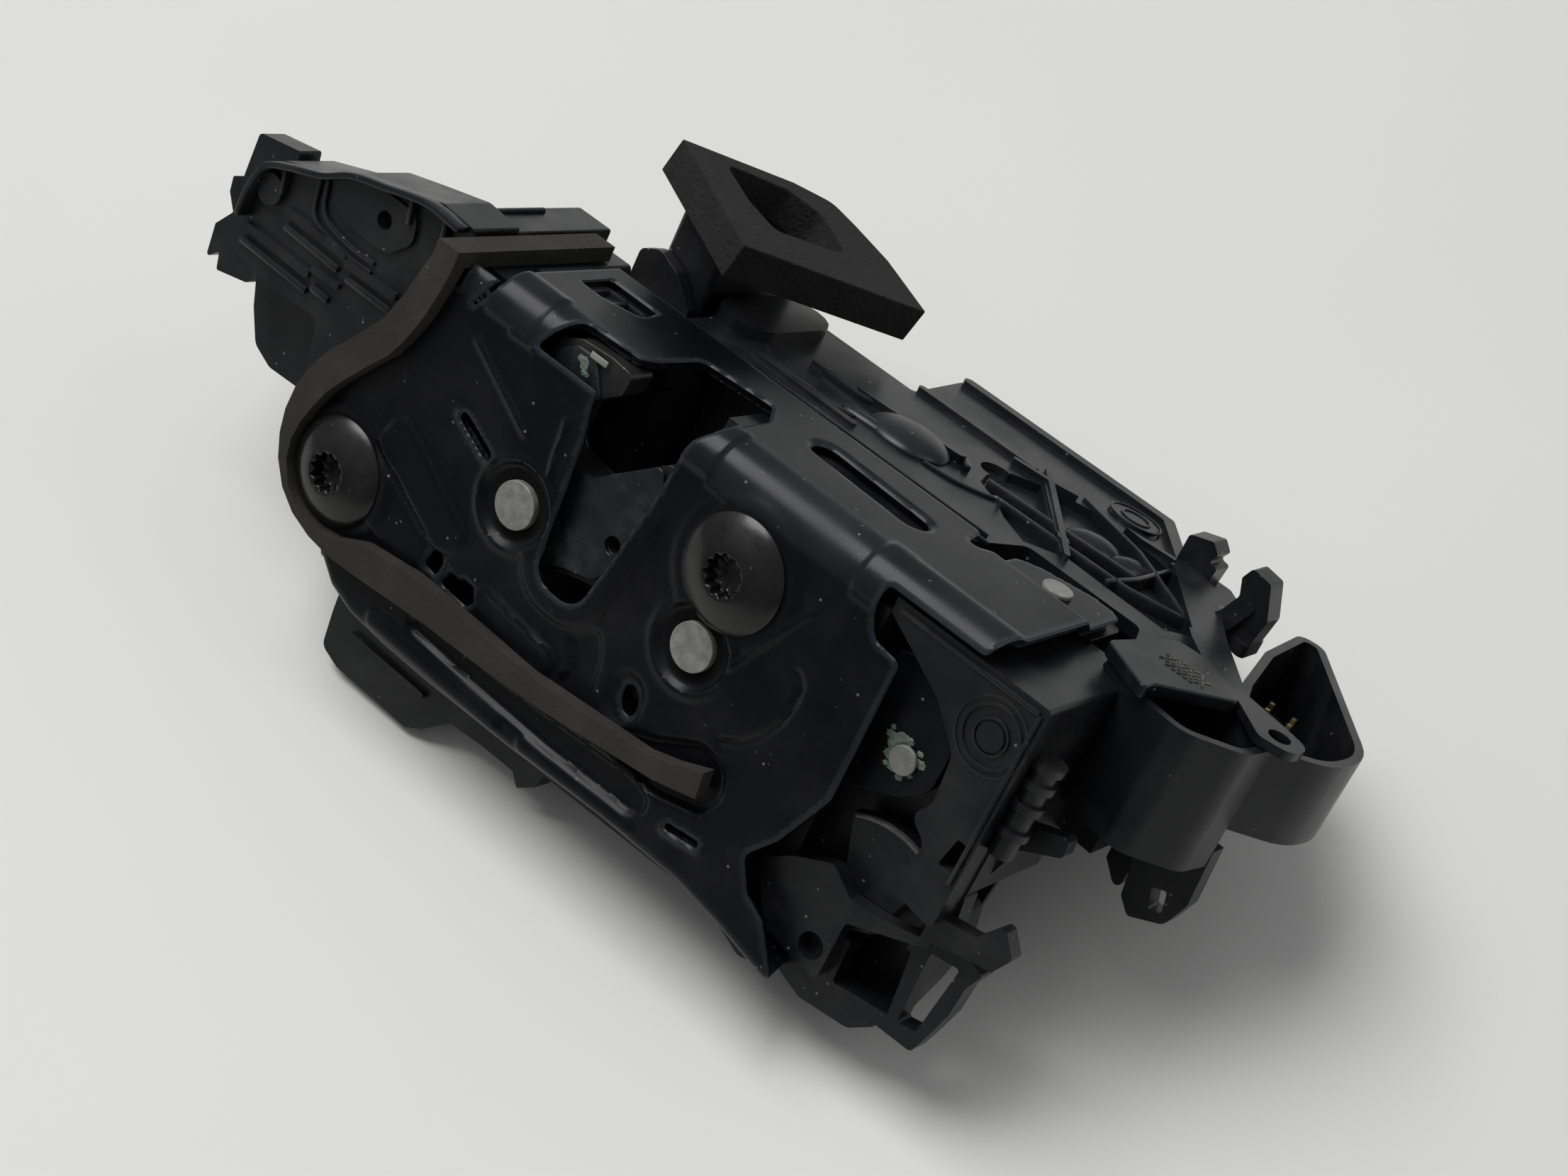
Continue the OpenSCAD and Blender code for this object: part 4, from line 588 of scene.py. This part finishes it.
def rounded(corners, steps=6):
    """A closed line through [x, y, radius] corners, with an arc at each."""
    line = []
    for i, (x, y, wish) in enumerate(corners):
        corner = np.array((x, y), float)
        before = np.array(corners[i - 1][:2], float) - corner
        after = np.array(corners[(i + 1) % len(corners)][:2], float) - corner
        long_before, long_after = np.hypot(*before), np.hypot(*after)
        before, after = before / long_before, after / long_after
        half = math.acos(max(-1, min(1, before @ after))) / 2
        if wish <= 0 or half > 1.55:
            line.append(tuple(corner))
            continue
        reach = min(wish / math.tan(half), 0.46 * long_before, 0.46 * long_after)
        radius = reach * math.tan(half)
        middle = corner + (before + after) / np.hypot(*(before + after)) * radius / math.sin(half)
        first, last = corner + before * reach - middle, corner + after * reach - middle
        start = math.atan2(first[1], first[0])
        turn = (math.atan2(last[1], last[0]) - start + math.pi) % (2 * math.pi) - math.pi
        for step in range(steps + 1):
            angle = start + turn * step / steps
            line.append((middle[0] + radius * math.cos(angle), middle[1] + radius * math.sin(angle)))
    return line


# The blank is drawn flat: x as on the lock, v up the plate, over the fold and down the flange
flange_y = 33.5
bend_r = 6.5
bend_y = flange_y - bend_r
fold_run = bend_r * math.pi / 2
sheet = 2.0
skirt_r = 2.2
skirt_depth = 7
skirt_run = skirt_r * (math.pi / 2 - 1) + skirt_depth
screw_places = [(-40, -16), (40, 16)]
catch_pivot = (-3.5, 0.5)
pawl_pivot = (38.5, 0.5)


def down_flange(depth):
    """Where a depth behind the plate's face lies on the flat blank."""
    if depth >= bend_r:
        return bend_y + fold_run + depth - bend_r
    return bend_y + bend_r * math.acos(1 - depth / bend_r)


# Outline, in corners of x, v and radius: the lower edge, the connector end, the flange and the end at the ear
low_line = [(-37, -33), (-33, -36.3), (-27, -38.2), (-18, -38.8), (-6, -38.8), (14, -38), (36, -36.6),
            (54, -36.4), (64, -37.6), (75, -39.8)]
ear_line = [(-33.6, 25.5), (-36.4, 19.8), (-39, 13.4), (-43.5, 6.9), (-47.2, 2.4), (-49.8, -2.1),
            (-51.2, -6.5), (-51.6, -11.4), (-51, -15.4), (-49.5, -19.1), (-46.8, -22.5), (-43.2, -24.9),
            (-38.7, -26.4)]
stub_end = bend_y + bend_r * math.asin(4.4 / bend_r)
lip_start = bend_y + bend_r * math.asin(3.2 / bend_r)
outline = rounded(
    [(px, py - skirt_run + skirt_r * 0.5, 0) for px, py in low_line]
    + [(77, -38, 2), (71.5, -31, 3), (67, -29, 3), (63.3, -23.5, 2), (67.5, -17.5, 2), (72.5, -5.5, 4),
       (72.3, 20.8, 1.5), (66.5, 21.5, 2.5), (64.5, 25, 2), (64.5, lip_start, 1), (84, lip_start, 1),
       (86, down_flange(8), 2), (86, down_flange(40.5), 2.5), (80, down_flange(41), 2),
       (70.5, down_flange(38), 3), (66.5, down_flange(35), 3), (66.5, down_flange(29), 1),
       (62.5, down_flange(23.3), 1.5), (60.8, down_flange(31.5), 1.2), (-24, down_flange(31.5), 1),
       (-24, stub_end, 0.5), (-31, stub_end, 0.5), (-31, bend_y - 0.5, 0), (-33, bend_y - 1, 0)]
    + [(px, py, 0) for px, py in ear_line])

# Throat for the striker, which goes on over the fold and into the flange
throat_x = 12
throat_r = 7
throat_left = throat_x - throat_r
throat_right = throat_x + throat_r
throat = rounded([
    (-12, bend_y - 0.6, 0.6), (throat_left - 2.6, bend_y - 0.6, 0.6), (throat_left - 2.6, 24, 0.5),
    (throat_left - 1.4, 18, 0), (throat_left, 1, 3), (throat_left + 0.7, -8, 4.6),
    (throat_right - 3.2, -8, 4.6), (throat_right - 0.6, 4, 6), (throat_right + 1.2, 14, 0),
    (throat_right + 2.8, bend_y, 0.5), (22.4, down_flange(0.6), 1), (24.2, down_flange(2.4), 2),
    (25, down_flange(5), 2), (24.7, down_flange(16.5), 1.5), (20.8, down_flange(22.5), 1.5),
    (6.2, down_flange(20.5), 2), (5.3, down_flange(9), 2), (3.8, down_flange(6), 1),
    (-8, down_flange(5.2), 3)])
window = rounded([(-20.2, down_flange(17), 0.8), (-15.6, down_flange(16.6), 0.8),
                  (-8, down_flange(19.4), 0.8), (-8.8, down_flange(25.3), 0.8),
                  (-20.2, down_flange(25.4), 0.8)])


def stadium(first, last, radius, steps=10):
    """A slot with round ends."""
    start = math.atan2(last[1] - first[1], last[0] - first[0])
    return [(middle[0] + radius * math.cos(start + side + math.pi * step / steps),
             middle[1] + radius * math.sin(start + side + math.pi * step / steps))
            for middle, side in ((last, -math.pi / 2), (first, math.pi / 2)) for step in range(steps + 1)]


def round_hole(at, radius):
    """A round hole, which is a slot of hardly any length."""
    return stadium(at, (at[0] + 0.01, at[1]), radius)


flange_slot = stadium((34.9, down_flange(20.6)), (54.5, down_flange(19.4)), 2.9)
rivet_holes = [round_hole(pivot, 4.25) for pivot in (catch_pivot, pawl_pivot)]
tongue_hole = round_hole((76.5, down_flange(33)), 1.9)
pierced = stadium((-19.6, 7.7), (-12.6, 4.8), 1.0)
low_slit = stadium((48.9, -28.6), (54.9, -27.7), 0.6)
formed_hole = [(31.8 + 1.7 * math.cos(a) - 0.8 * math.sin(a), -15.2 + 2.6 * math.sin(a) + 0.4 * math.cos(a))
               for a in np.linspace(0, 2 * math.pi, 17)[:-1]]
torn = [[(-15.9, -19.8), (-15.3, -16.5), (-13.5, -15.7), (-12.5, -17.4), (-12.9, -20.2)],
        [(-11.4, -20.8), (-10.2, -17.7), (-8.1, -18), (-6.8, -17), (-5, -17.2), (-3.4, -19.3), (-4.6, -21.2)]]
fold_slit = [(-27.6, bend_y - 1.4), (-26.9, bend_y - 1.6), (-25.3, bend_y + 1), (-24, bend_y + 4.9),
             (-25.1, bend_y + 4.9), (-26.1, bend_y + 1.4)]
holes = [throat, window, flange_slot, tongue_hole, pierced, low_slit, formed_hole, fold_slit]
holes += rivet_holes + torn

# Flat blank
cell = 0.52
columns, rows = 280, 233
blank_middle = (16, 12.5)
bpy.ops.object.select_all(action="DESELECT")
bpy.ops.mesh.primitive_grid_add(x_subdivisions=columns, y_subdivisions=rows, size=1)
plate = bpy.context.object
plate.name = "face_plate"
blank = np.empty(len(plate.data.vertices) * 3)
plate.data.vertices.foreach_get("co", blank)
blank = blank.reshape(-1, 3)[:, :2] * (columns * cell, rows * cell) + blank_middle

# Cut: points near an edge go onto it, and faces beyond it are left out
margin = np.where(is_within(blank, outline), 1.0, -1.0)
edge_gap, edge_place = from_path(blank, outline, closed=True)
margin *= edge_gap
for hole in holes:
    gap, place = from_path(blank, hole, closed=True)
    gap = np.where(is_within(blank, hole), -gap, gap)
    edge_place[gap < margin] = place[gap < margin]
    margin = np.minimum(margin, gap)
kept = margin > 0.25 * cell
corners = np.empty(len(plate.data.loops), int)
plate.data.loops.foreach_get("vertex_index", corners)
corners = corners.reshape(-1, 4)
plate.data.vertices.foreach_set("select", np.zeros(len(blank), bool))
plate.data.edges.foreach_set("select", np.zeros(len(plate.data.edges), bool))
plate.data.polygons.foreach_set("select", ~kept[corners].any(axis=1))
blank = np.where(kept[:, None], blank, edge_place)
inward = np.where(kept, margin, 0)

# Press: ribs stand out, recesses go in, and each has soft sides
x, v = blank.T


def rib(path, half, rise, side):
    """How far a rib along a path stands out. Half its width lies on each side, and its sides are soft."""
    return rise * smooth((half + side / 2 - from_path(blank, path)[0]) / side)


def panel(corners, rise, side, radius):
    """How far a panel with rounded corners and soft sides stands out."""
    path = rounded([(px, py, radius) for px, py in corners])
    gap = from_path(blank, path, closed=True)[0]
    return rise * smooth(np.where(is_within(blank, path), gap, -gap) / side + 0.5)


def away_from(at):
    """Distance of the blank's points from a place on it."""
    return np.hypot(x - at[0], v - at[1])


# Each panel: its corners, how far it stands out, the width of its sides and its corner radius
panels = [
    ([(-31.8, 1.8), (-15.7, -6.7), (-9.6, -9.8), (-11.4, -15.4), (-15.5, -16), (-35.2, -6.3)], 0.55, 1.3, 3),
    ([(-38.5, -7.2), (-35.4, -7.8), (-18.4, -15.4), (-15.4, -18), (-17, -21.6), (-27, -22), (-37, -18)],
     0.4, 1.3, 3),
    ([(16.8, -12.4), (21.6, -7.4), (24.2, -12.4), (25.4, -22), (17.4, -22), (19.7, -16.5)], -0.6, 1.2, 1.5),
    ([(33, -20), (39.6, -17.4), (48, -12.4), (53, -13.6), (55.2, -18.4), (52.8, -23), (43.3, -25.6),
      (33, -24.4)], -1.5, 1.5, 3.5),
    ([(-14, -29), (-4.7, -28.4), (9, -28), (24.7, -27), (38.7, -26), (43.2, -27.2), (43.4, -30.6),
      (40.3, -31.8), (21.7, -32.8), (2.2, -32.6), (-14, -32)], -1.2, 1.3, 1.8)]

# Each rib: its path, half its width, how far it stands out and the width of its sides. The last four are
# ridges on the fold.
fold_end = bend_y + fold_run
ribs = [
    ([(-34.6, -7), (-18.3, -14.9)], 0.3, -0.5, 1.3),
    ([(-23.2, 20.9), (-7.4, 12.5)], 0.4, 0.8, 1.8),
    ([(-20.2, 8.0), (-12, 4.5)], 1.6, 0.4, 1.2),
    ([(-0.5, 19), (0.4, 9.1)], 0.4, 0.7, 1.6),
    ([(-1, -17.6), (13.6, -19.2)], 2.9, 0.5, 1.2),
    ([(-0.8, -15.9), (14.2, -17.2)], 0.2, 0.4, 1.1),
    ([(46.6, 2.2), (55, 18.6)], 0.4, 0.7, 1.6),
    ([(57.6, 8.6), (59.1, 7.2), (59.4, 3.7), (58.8, -0.3), (57, -4.2), (54.3, -7.6), (50.8, -9.7)],
     0.4, -0.75, 1.5),
    ([(-21.4, -35.2), (9.8, -35.4)], 1.5, 0.45, 1.2),
    ([(17.2, -35), (41.4, -33.8)], 1.4, 0.45, 1.2),
    ([(48.6, -29.2), (55.2, -28.2)], 1.1, 0.5, 0.9),
    ([(31.2, -16.4), (31.2, -14)], 3.4, -0.8, 2.4),
    ([(-17.6, bend_y - 1.3), (-12.4, bend_y - 1.3)], 0.3, 0.5, 1.2),
    ([(28.6, bend_y - 1.5), (33, bend_y - 1.5)], 0.3, 0.45, 1.2),
    ([(59.6, bend_y - 1.4), (63.6, bend_y - 1.4)], 0.3, 0.45, 1.2),
    ([(59.6, fold_end + 1), (63.6, fold_end + 1)], 0.3, 0.35, 1.2)]
height = sum(panel(*one) for one in panels) + sum(rib(*one) for one in ribs)

# Each round form: its middle, how far it stands out, its radius and the width of its sides. A raised ring
# with a recess in it goes round each rivet, and a low pad lies under each screw.
round_forms = [(at, *form) for at in (catch_pivot, pawl_pivot)
               for form in ((0.45, 9.6, 1.6), (-1.4, 7.9, 1.4))]
round_forms += [(at, 0.35, 13.5, 2) for at in screw_places]
for at, rise, radius, side in round_forms:
    height += rise * smooth((radius - away_from(at)) / side)

# A raised edge goes round the inner end of the throat
away = from_path(blank, throat, closed=True)[0]
here = np.where(x < throat_x, smooth((-2 - v) / 4), smooth((20 - v) / 8)) * smooth((bend_y - 2 - v) / 3)
height += 0.7 * here * smooth((4.6 - away) / 1.4)

# Collars on the fold beside its cut ends, a sunk edge round the flange's slot, the step of the tongue, and
# the rounding that the press leaves at every cut edge
on_fold = smooth((v - bend_y + 1.5) / 1.5) * smooth((fold_end + 1.5 - v) / 1.5)
height += 0.45 * on_fold * (smooth((x - 58.8) / 0.6) + smooth((28.4 - x) / 0.6) * smooth((x - 20) / 0.5))
height += 0.35 * on_fold * smooth((x + 24.5) / 0.5) * smooth((-13.4 - x) / 0.8)
away = from_path(blank, flange_slot, closed=True)[0]
height -= 0.35 * smooth((1.1 - away) / 0.9) * (v > bend_y)
tongue_step = smooth((v - down_flange(27.4)) / 2.2) * smooth((x - 64.6) / 1.2)
height -= 1.6 * tongue_step
edge_r = 0.38
to_edge = edge_r - np.minimum(inward, edge_r)
height -= edge_r - np.sqrt(np.maximum(0, edge_r ** 2 - to_edge ** 2))

# Roll the lower edge back, and fold the flange over
low = np.interp(x, *zip(*low_line))
past = low + skirt_r - v
turn = np.clip(past / skirt_r, 0, math.pi / 2)
rolled = past > 0
place = np.stack((x, v, np.zeros(len(x))), axis=1)
outward = np.tile((0.0, 0.0, 1.0), (len(x), 1))
place[rolled, 1] = (low + skirt_r - skirt_r * np.sin(turn))[rolled]
place[rolled, 2] = (-skirt_r * (1 - np.cos(turn)) - np.maximum(0, past - skirt_r * math.pi / 2))[rolled]
outward[rolled, 1] = -np.sin(turn[rolled])
outward[rolled, 2] = np.cos(turn[rolled])
turn = np.clip((v - bend_y) / bend_r, 0, math.pi / 2)
folded = v > bend_y
place[folded, 1] = (bend_y + bend_r * np.sin(turn))[folded]
place[folded, 2] = (-bend_r * (1 - np.cos(turn)) - np.maximum(0, v - bend_y - fold_run))[folded]
outward[folded, 1] = np.sin(turn[folded])
outward[folded, 2] = np.cos(turn[folded])
plate.data.vertices.foreach_set("co", ((place + outward * height[:, None]) * MM).ravel())

# Painted shade darkens the recesses round the rivets and the plate under the screws' edges, and the fold and
# the cut edges are painted lighter, partly as rubbed coat and partly as a painted highlight
painted_shade = np.zeros(len(blank))
for pivot in (catch_pivot, pawl_pivot):
    painted_shade = np.maximum(painted_shade, smooth((6.7 - away_from(pivot)) / 0.8))
for at in screw_places:
    painted_shade = np.maximum(painted_shade, 0.8 * smooth((11.2 - away_from(at)) / 1.4))
# The cut edges and the fold are painted lighter: partly rubbed coat, partly a painted highlight
rubbed_and_highlit_at = 0.5 * (inward < 0.9) + 0.35 * on_fold
for name, values in [("rubbed_and_highlit", rubbed_and_highlit_at), ("painted_shade", painted_shade)]:
    plate.data.attributes.new(name, "FLOAT", "POINT").data.foreach_set("value", values)
bpy.context.tool_settings.mesh_select_mode = (False, False, True)
bpy.ops.object.mode_set(mode="EDIT")
bpy.ops.mesh.delete(type="FACE")
bpy.context.tool_settings.mesh_select_mode = (True, False, False)
bpy.ops.mesh.select_all(action="SELECT")
bpy.ops.mesh.remove_doubles(threshold=0.02 * MM)
bpy.ops.object.mode_set(mode="OBJECT")
gauge = plate.modifiers.new("sheet", "SOLIDIFY")
gauge.thickness = sheet * MM
gauge.offset = -1
bpy.ops.object.modifier_apply(modifier=gauge.name)
bpy.ops.object.shade_smooth_by_angle(angle=math.radians(42))
plate.data.materials.append(black_steel)
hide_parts("lock_plate")
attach(plate, "lock_body")


# Door screws: two black machine screws with wide domed heads and sockets of twelve splines, of dark steel
# in uneven patches with dust on it. They go through the plate and hold the door's sheet to it.
head_r = 10
rim = 1.0
socket_depth = 2.6
socket_splines = 12
socket_near, socket_far = 2.9, 3.6
spline_depth = 0.085
spline_cut = 0.6
shank_r, shank_length, shank_middle = 4, 18.2, -8.9

# The dome from its rim to the socket, in radius and level
crown = [(9.7, 1.3), (9.2, 1.68), (8.2, 2.25), (6.8, 2.87), (5.4, 3.4), (4.4, 3.66), (3.75, 3.75),
         (3.45, 3.5)]
bpy.ops.object.select_all(action="DESELECT")
bpy.ops.mesh.primitive_cylinder_add(vertices=96, radius=head_r * MM, depth=rim * MM,
                                    location=(0, 0, rim / 2 * MM))
screw = bpy.context.object
bpy.context.tool_settings.mesh_select_mode = (False, False, True)
for face in screw.data.polygons:
    face.select = face.normal.z > 0.9
screw.data.vertices.foreach_set("select", np.zeros(len(screw.data.vertices), bool))
bpy.ops.object.mode_set(mode="EDIT")
last_r, last_z = head_r, rim
for radius, level in crown:
    bpy.ops.mesh.inset(thickness=(last_r - radius) * MM, depth=(level - last_z) * MM)
    last_r, last_z = radius, level
bpy.ops.mesh.inset(thickness=0.05 * MM, depth=-socket_depth * MM)
bpy.ops.mesh.inset(thickness=1.2 * MM, depth=-0.5 * MM)
bpy.ops.object.mode_set(mode="OBJECT")
for corner in screw.data.vertices:
    away = math.hypot(corner.co.x, corner.co.y) / MM
    if socket_near < away < socket_far:
        wave = math.cos(socket_splines * math.atan2(corner.co.y, corner.co.x))
        stretch = 1 + spline_depth * max(-spline_cut, min(spline_cut, wave)) / spline_cut
        corner.co.x *= stretch
        corner.co.y *= stretch
bpy.ops.object.select_all(action="DESELECT")
bpy.ops.mesh.primitive_cylinder_add(vertices=48, radius=shank_r * MM, depth=shank_length * MM,
                                    location=(0, 0, shank_middle * MM))
shank = bpy.context.object
bpy.ops.object.select_all(action="DESELECT")
screw.select_set(True)
shank.select_set(True)
bpy.context.view_layer.objects.active = screw
bpy.ops.object.join()
other = screw.copy()
other.data = screw.data.copy()
bpy.context.scene.collection.objects.link(other)
for one, at, turn in zip((screw, other), screw_places, (0.1, 0.35)):
    one.data.transform(Matrix.Translation((at[0] * MM, at[1] * MM, 0)) @ Matrix.Rotation(turn, 4, "Z"))
other.select_set(True)
bpy.ops.object.join()
screw.name = "door_screw_pair"
crest = screw.modifiers.new("edge", "BEVEL")
crest.width = 0.18 * MM
crest.segments = 2
crest.limit_method = "ANGLE"
crest.angle_limit = math.radians(50)
bpy.ops.object.modifier_apply(modifier=crest.name)
bpy.ops.object.shade_smooth_by_angle(angle=math.radians(40))
worn_steel = grained("worn_steel", (0.002, 0.002, 0.0025), (0.012, 0.0115, 0.011), 0.26, 0.18, 0.6, 0.02,
                     dust_tone=(0.06, 0.058, 0.053, 1), metallic=0.1, fine=900.0, coarse=190.0)
screw.data.materials.append(worn_steel)
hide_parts("door_screws")
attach(screw, "lock_body")


# Outer lever: pressed from sheet steel and coated black like the plate. It turns on a zinc pin in the open
# corner of the lock, and old grease has dried in whitish green lumps round the pin.
edged_copy("release_lever", "outer_lever", 0.25, black_steel)


def lump(x, y, z, long, wide, tall, seed):
    """A small uneven lump of grease."""
    bpy.ops.object.select_all(action="DESELECT")
    bpy.ops.mesh.primitive_ico_sphere_add(subdivisions=4, radius=MM)
    smear = bpy.context.object
    for corner in smear.data.vertices:
        way = corner.co.normalized()
        broad = noise.noise(way * 2.1 + Vector((seed, 0, 0)))
        small = noise.noise(way * 5 + Vector((0, seed, 0)))
        swell = 1 + 0.55 * broad + 0.3 * small
        corner.co = Vector((way.x * long, way.y * wide, way.z * tall)) * swell * MM + Vector((x, y, z)) * MM
    return smear


grease = grained("old_grease", (0.03, 0.06, 0.05), (0.26, 0.30, 0.25), 0.42, 0.3, 0.4, 0.05, coarse=700.0,
                 dust_tone=(0.05, 0.07, 0.05, 1))
pin_x, pin_y, lever_face = 78.5, 6, -5.0
lumps = []

# Each lump: its angle round the pin, its distance from the pin's middle and its size
for turn, away, size in [(0.3, 2.7, 0.7), (0.9, 2.9, 0.45), (1.9, 3.0, 0.8), (2.4, 3.3, 1.0), (2.9, 3.0, 0.9),
                         (2.7, 4.6, 0.6), (2.5, 5.4, 0.35), (3.5, 2.9, 0.8), (3.9, 3.8, 0.4), (4.2, 2.8, 0.7),
                         (4.8, 3.3, 0.5), (5.5, 2.7, 0.4)]:
    lumps.append(lump(pin_x + away * math.cos(turn), pin_y + away * math.sin(turn), lever_face,
                      1.3 * size, size, 0.3 * size, 3 * turn))
joined(lumps, "lever_grease", grease, frame["nodes"]["release_lever"]["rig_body"])


# Rivets and pins: steel with a dull zinc coat. The pivots are riveted over the plate, the small rivet closes
# the tongue, and the levers turn on the pins.
zinc = grained("zinc", (0.10, 0.10, 0.09), (0.36, 0.36, 0.33), 0.5, 0.35, 0.2, 0.12, metallic=0.35,
               dust_tone=(0.05, 0.05, 0.045, 1), fine=1500.0, coarse=520.0)
for node in ["catch_pivot", "pawl_pivot", "flange_rivet", "lever_pin", "inner_lever_pin"]:
    edged_copy(node, node + "_head", 0.2, zinc)


# Catch and pawl: hardened dark steel with a moulded plastic skin, greased. Each turns on a pivot, and the
# catch's hook holds the striker in the throat.
dark_steel = grained("dark_steel", (0.012, 0.012, 0.013), (0.035, 0.034, 0.032), 0.35, 0.1, 0.3, 0.03,
                     metallic=0.4)
greased_skin = grained("greased_skin", (0.004, 0.0045, 0.006), (0.014, 0.016, 0.018), 0.26, 0.42, 0.6, 0.05,
                       dust_tone=(0.10, 0.13, 0.12, 1), coarse=260.0)
edged_copy("catch_core", "catch_steel", 0.2, dark_steel)
edged_copy("catch_cover", "catch_skin", 0.2, greased_skin)
edged_copy("pawl_pad", "pawl_skin", 0.15, greased_skin)

# Tip of the catch: the striker has worn the skin through to a bright strip of steel, and smears of grease
# lie beside it.
bare_steel = grained("bare_steel", (0.20, 0.20, 0.19), (0.50, 0.50, 0.47), 0.35, 0.35, 0.2, 0.05,
                     metallic=0.4, dust_tone=(0.06, 0.06, 0.055, 1), fine=1200.0, coarse=480.0)
catch_face = -3.2
tip_y = 29.4
tip = [wall([(px, tip_y, catch_face) for px in (-3.6, -2.4, -1.2, 0.2)], (0, 1.1, -0.1), 0.3)]
joined(tip, "catch_wear", bare_steel, frame["nodes"]["catch_cover"]["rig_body"])
smears = [lump(px, py, catch_face, long, 0.6 * long, 0.12, seed) for px, py, long, seed in [
    (-4.4, 28.2, 1.1, 1.0), (-3.9, 27.3, 0.9, 2.0), (-3.2, 26.4, 0.8, 5.0)]]
joined(smears, "catch_grease", grease, frame["nodes"]["catch_cover"]["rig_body"])


# Fan lever: a moulded black plastic lever on a small pin in the lever bay. The outer lever has rubbed the lip
# of its round edge bright.
edged_copy("inner_lever", "fan_lever", 0.3, black_plastic)
fan_x, fan_y, fan_top = 82.3, -23.4, -8.4
fan_r = 16.4
lip = [(fan_x + fan_r * math.cos(turn), fan_y + fan_r * math.sin(turn), fan_top - 0.2)
       for turn in np.linspace(math.radians(60), math.radians(120), 25)]
rubbed = grained("rubbed_plastic", (0.012, 0.012, 0.013), (0.16, 0.16, 0.155), 0.25, 0.1, 0.5, 0.02,
                 coarse=500.0)
joined([wall(lip, (0, 0, 0.6), 0.7)], "fan_lip", rubbed,
       frame["nodes"]["inner_lever"]["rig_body"])


# Foam seals: a grey strip that runs round the plate and a black ring on the key's column. Both are cut from
# soft open foam sheet and glued on.
strip_foam = grained("strip_foam", (0.018, 0.017, 0.016), (0.028, 0.026, 0.023), 0.8, 0.08, 0.3, 0.10,
                     dust_tone=(0.22, 0.21, 0.18, 1), fine=1400.0, coarse=120.0, sheen=0.3)
ring_foam = grained("ring_foam", (0.010, 0.010, 0.011), (0.024, 0.023, 0.022), 0.95, 0.06, 0.15, 0.45,
                    dust_tone=(0.10, 0.095, 0.085, 1), fine=1150.0, coarse=260.0, sheen=0.2)
for node, name, foam in [("foam_strip", "seal_strip", strip_foam), ("foam_ring", "seal_ring", ring_foam)]:
    piece = edged_copy(node, name, 0.6, foam, steps=3)


# Inner pieces: springs, gears, motor, switches and plug contacts. They are barely seen, so they keep the
# plain solids, in steel, brass and plastic.
inner_finish = {"zinc_steel": zinc, "dark_steel": dark_steel, "black_plastic": black_plastic,
                "skin_plastic": greased_skin, "buffer_rubber": black_plastic,
                "pin_brass": grained("brass", (0.52, 0.40, 0.18), (0.66, 0.52, 0.26), 0.3, 0.1, 0.1, 0.02,
                                     metallic=0.9),
                "gear_plastic": grained("natural_plastic", (0.60, 0.57, 0.48), (0.70, 0.67, 0.58), 0.45, 0.1,
                                        0.1, 0.02)}
for node, solid in frame["nodes"].items():
    if slot_of[node] in inner_finish:
        solid.data.materials.clear()
        solid.data.materials.append(inner_finish[slot_of[node]])
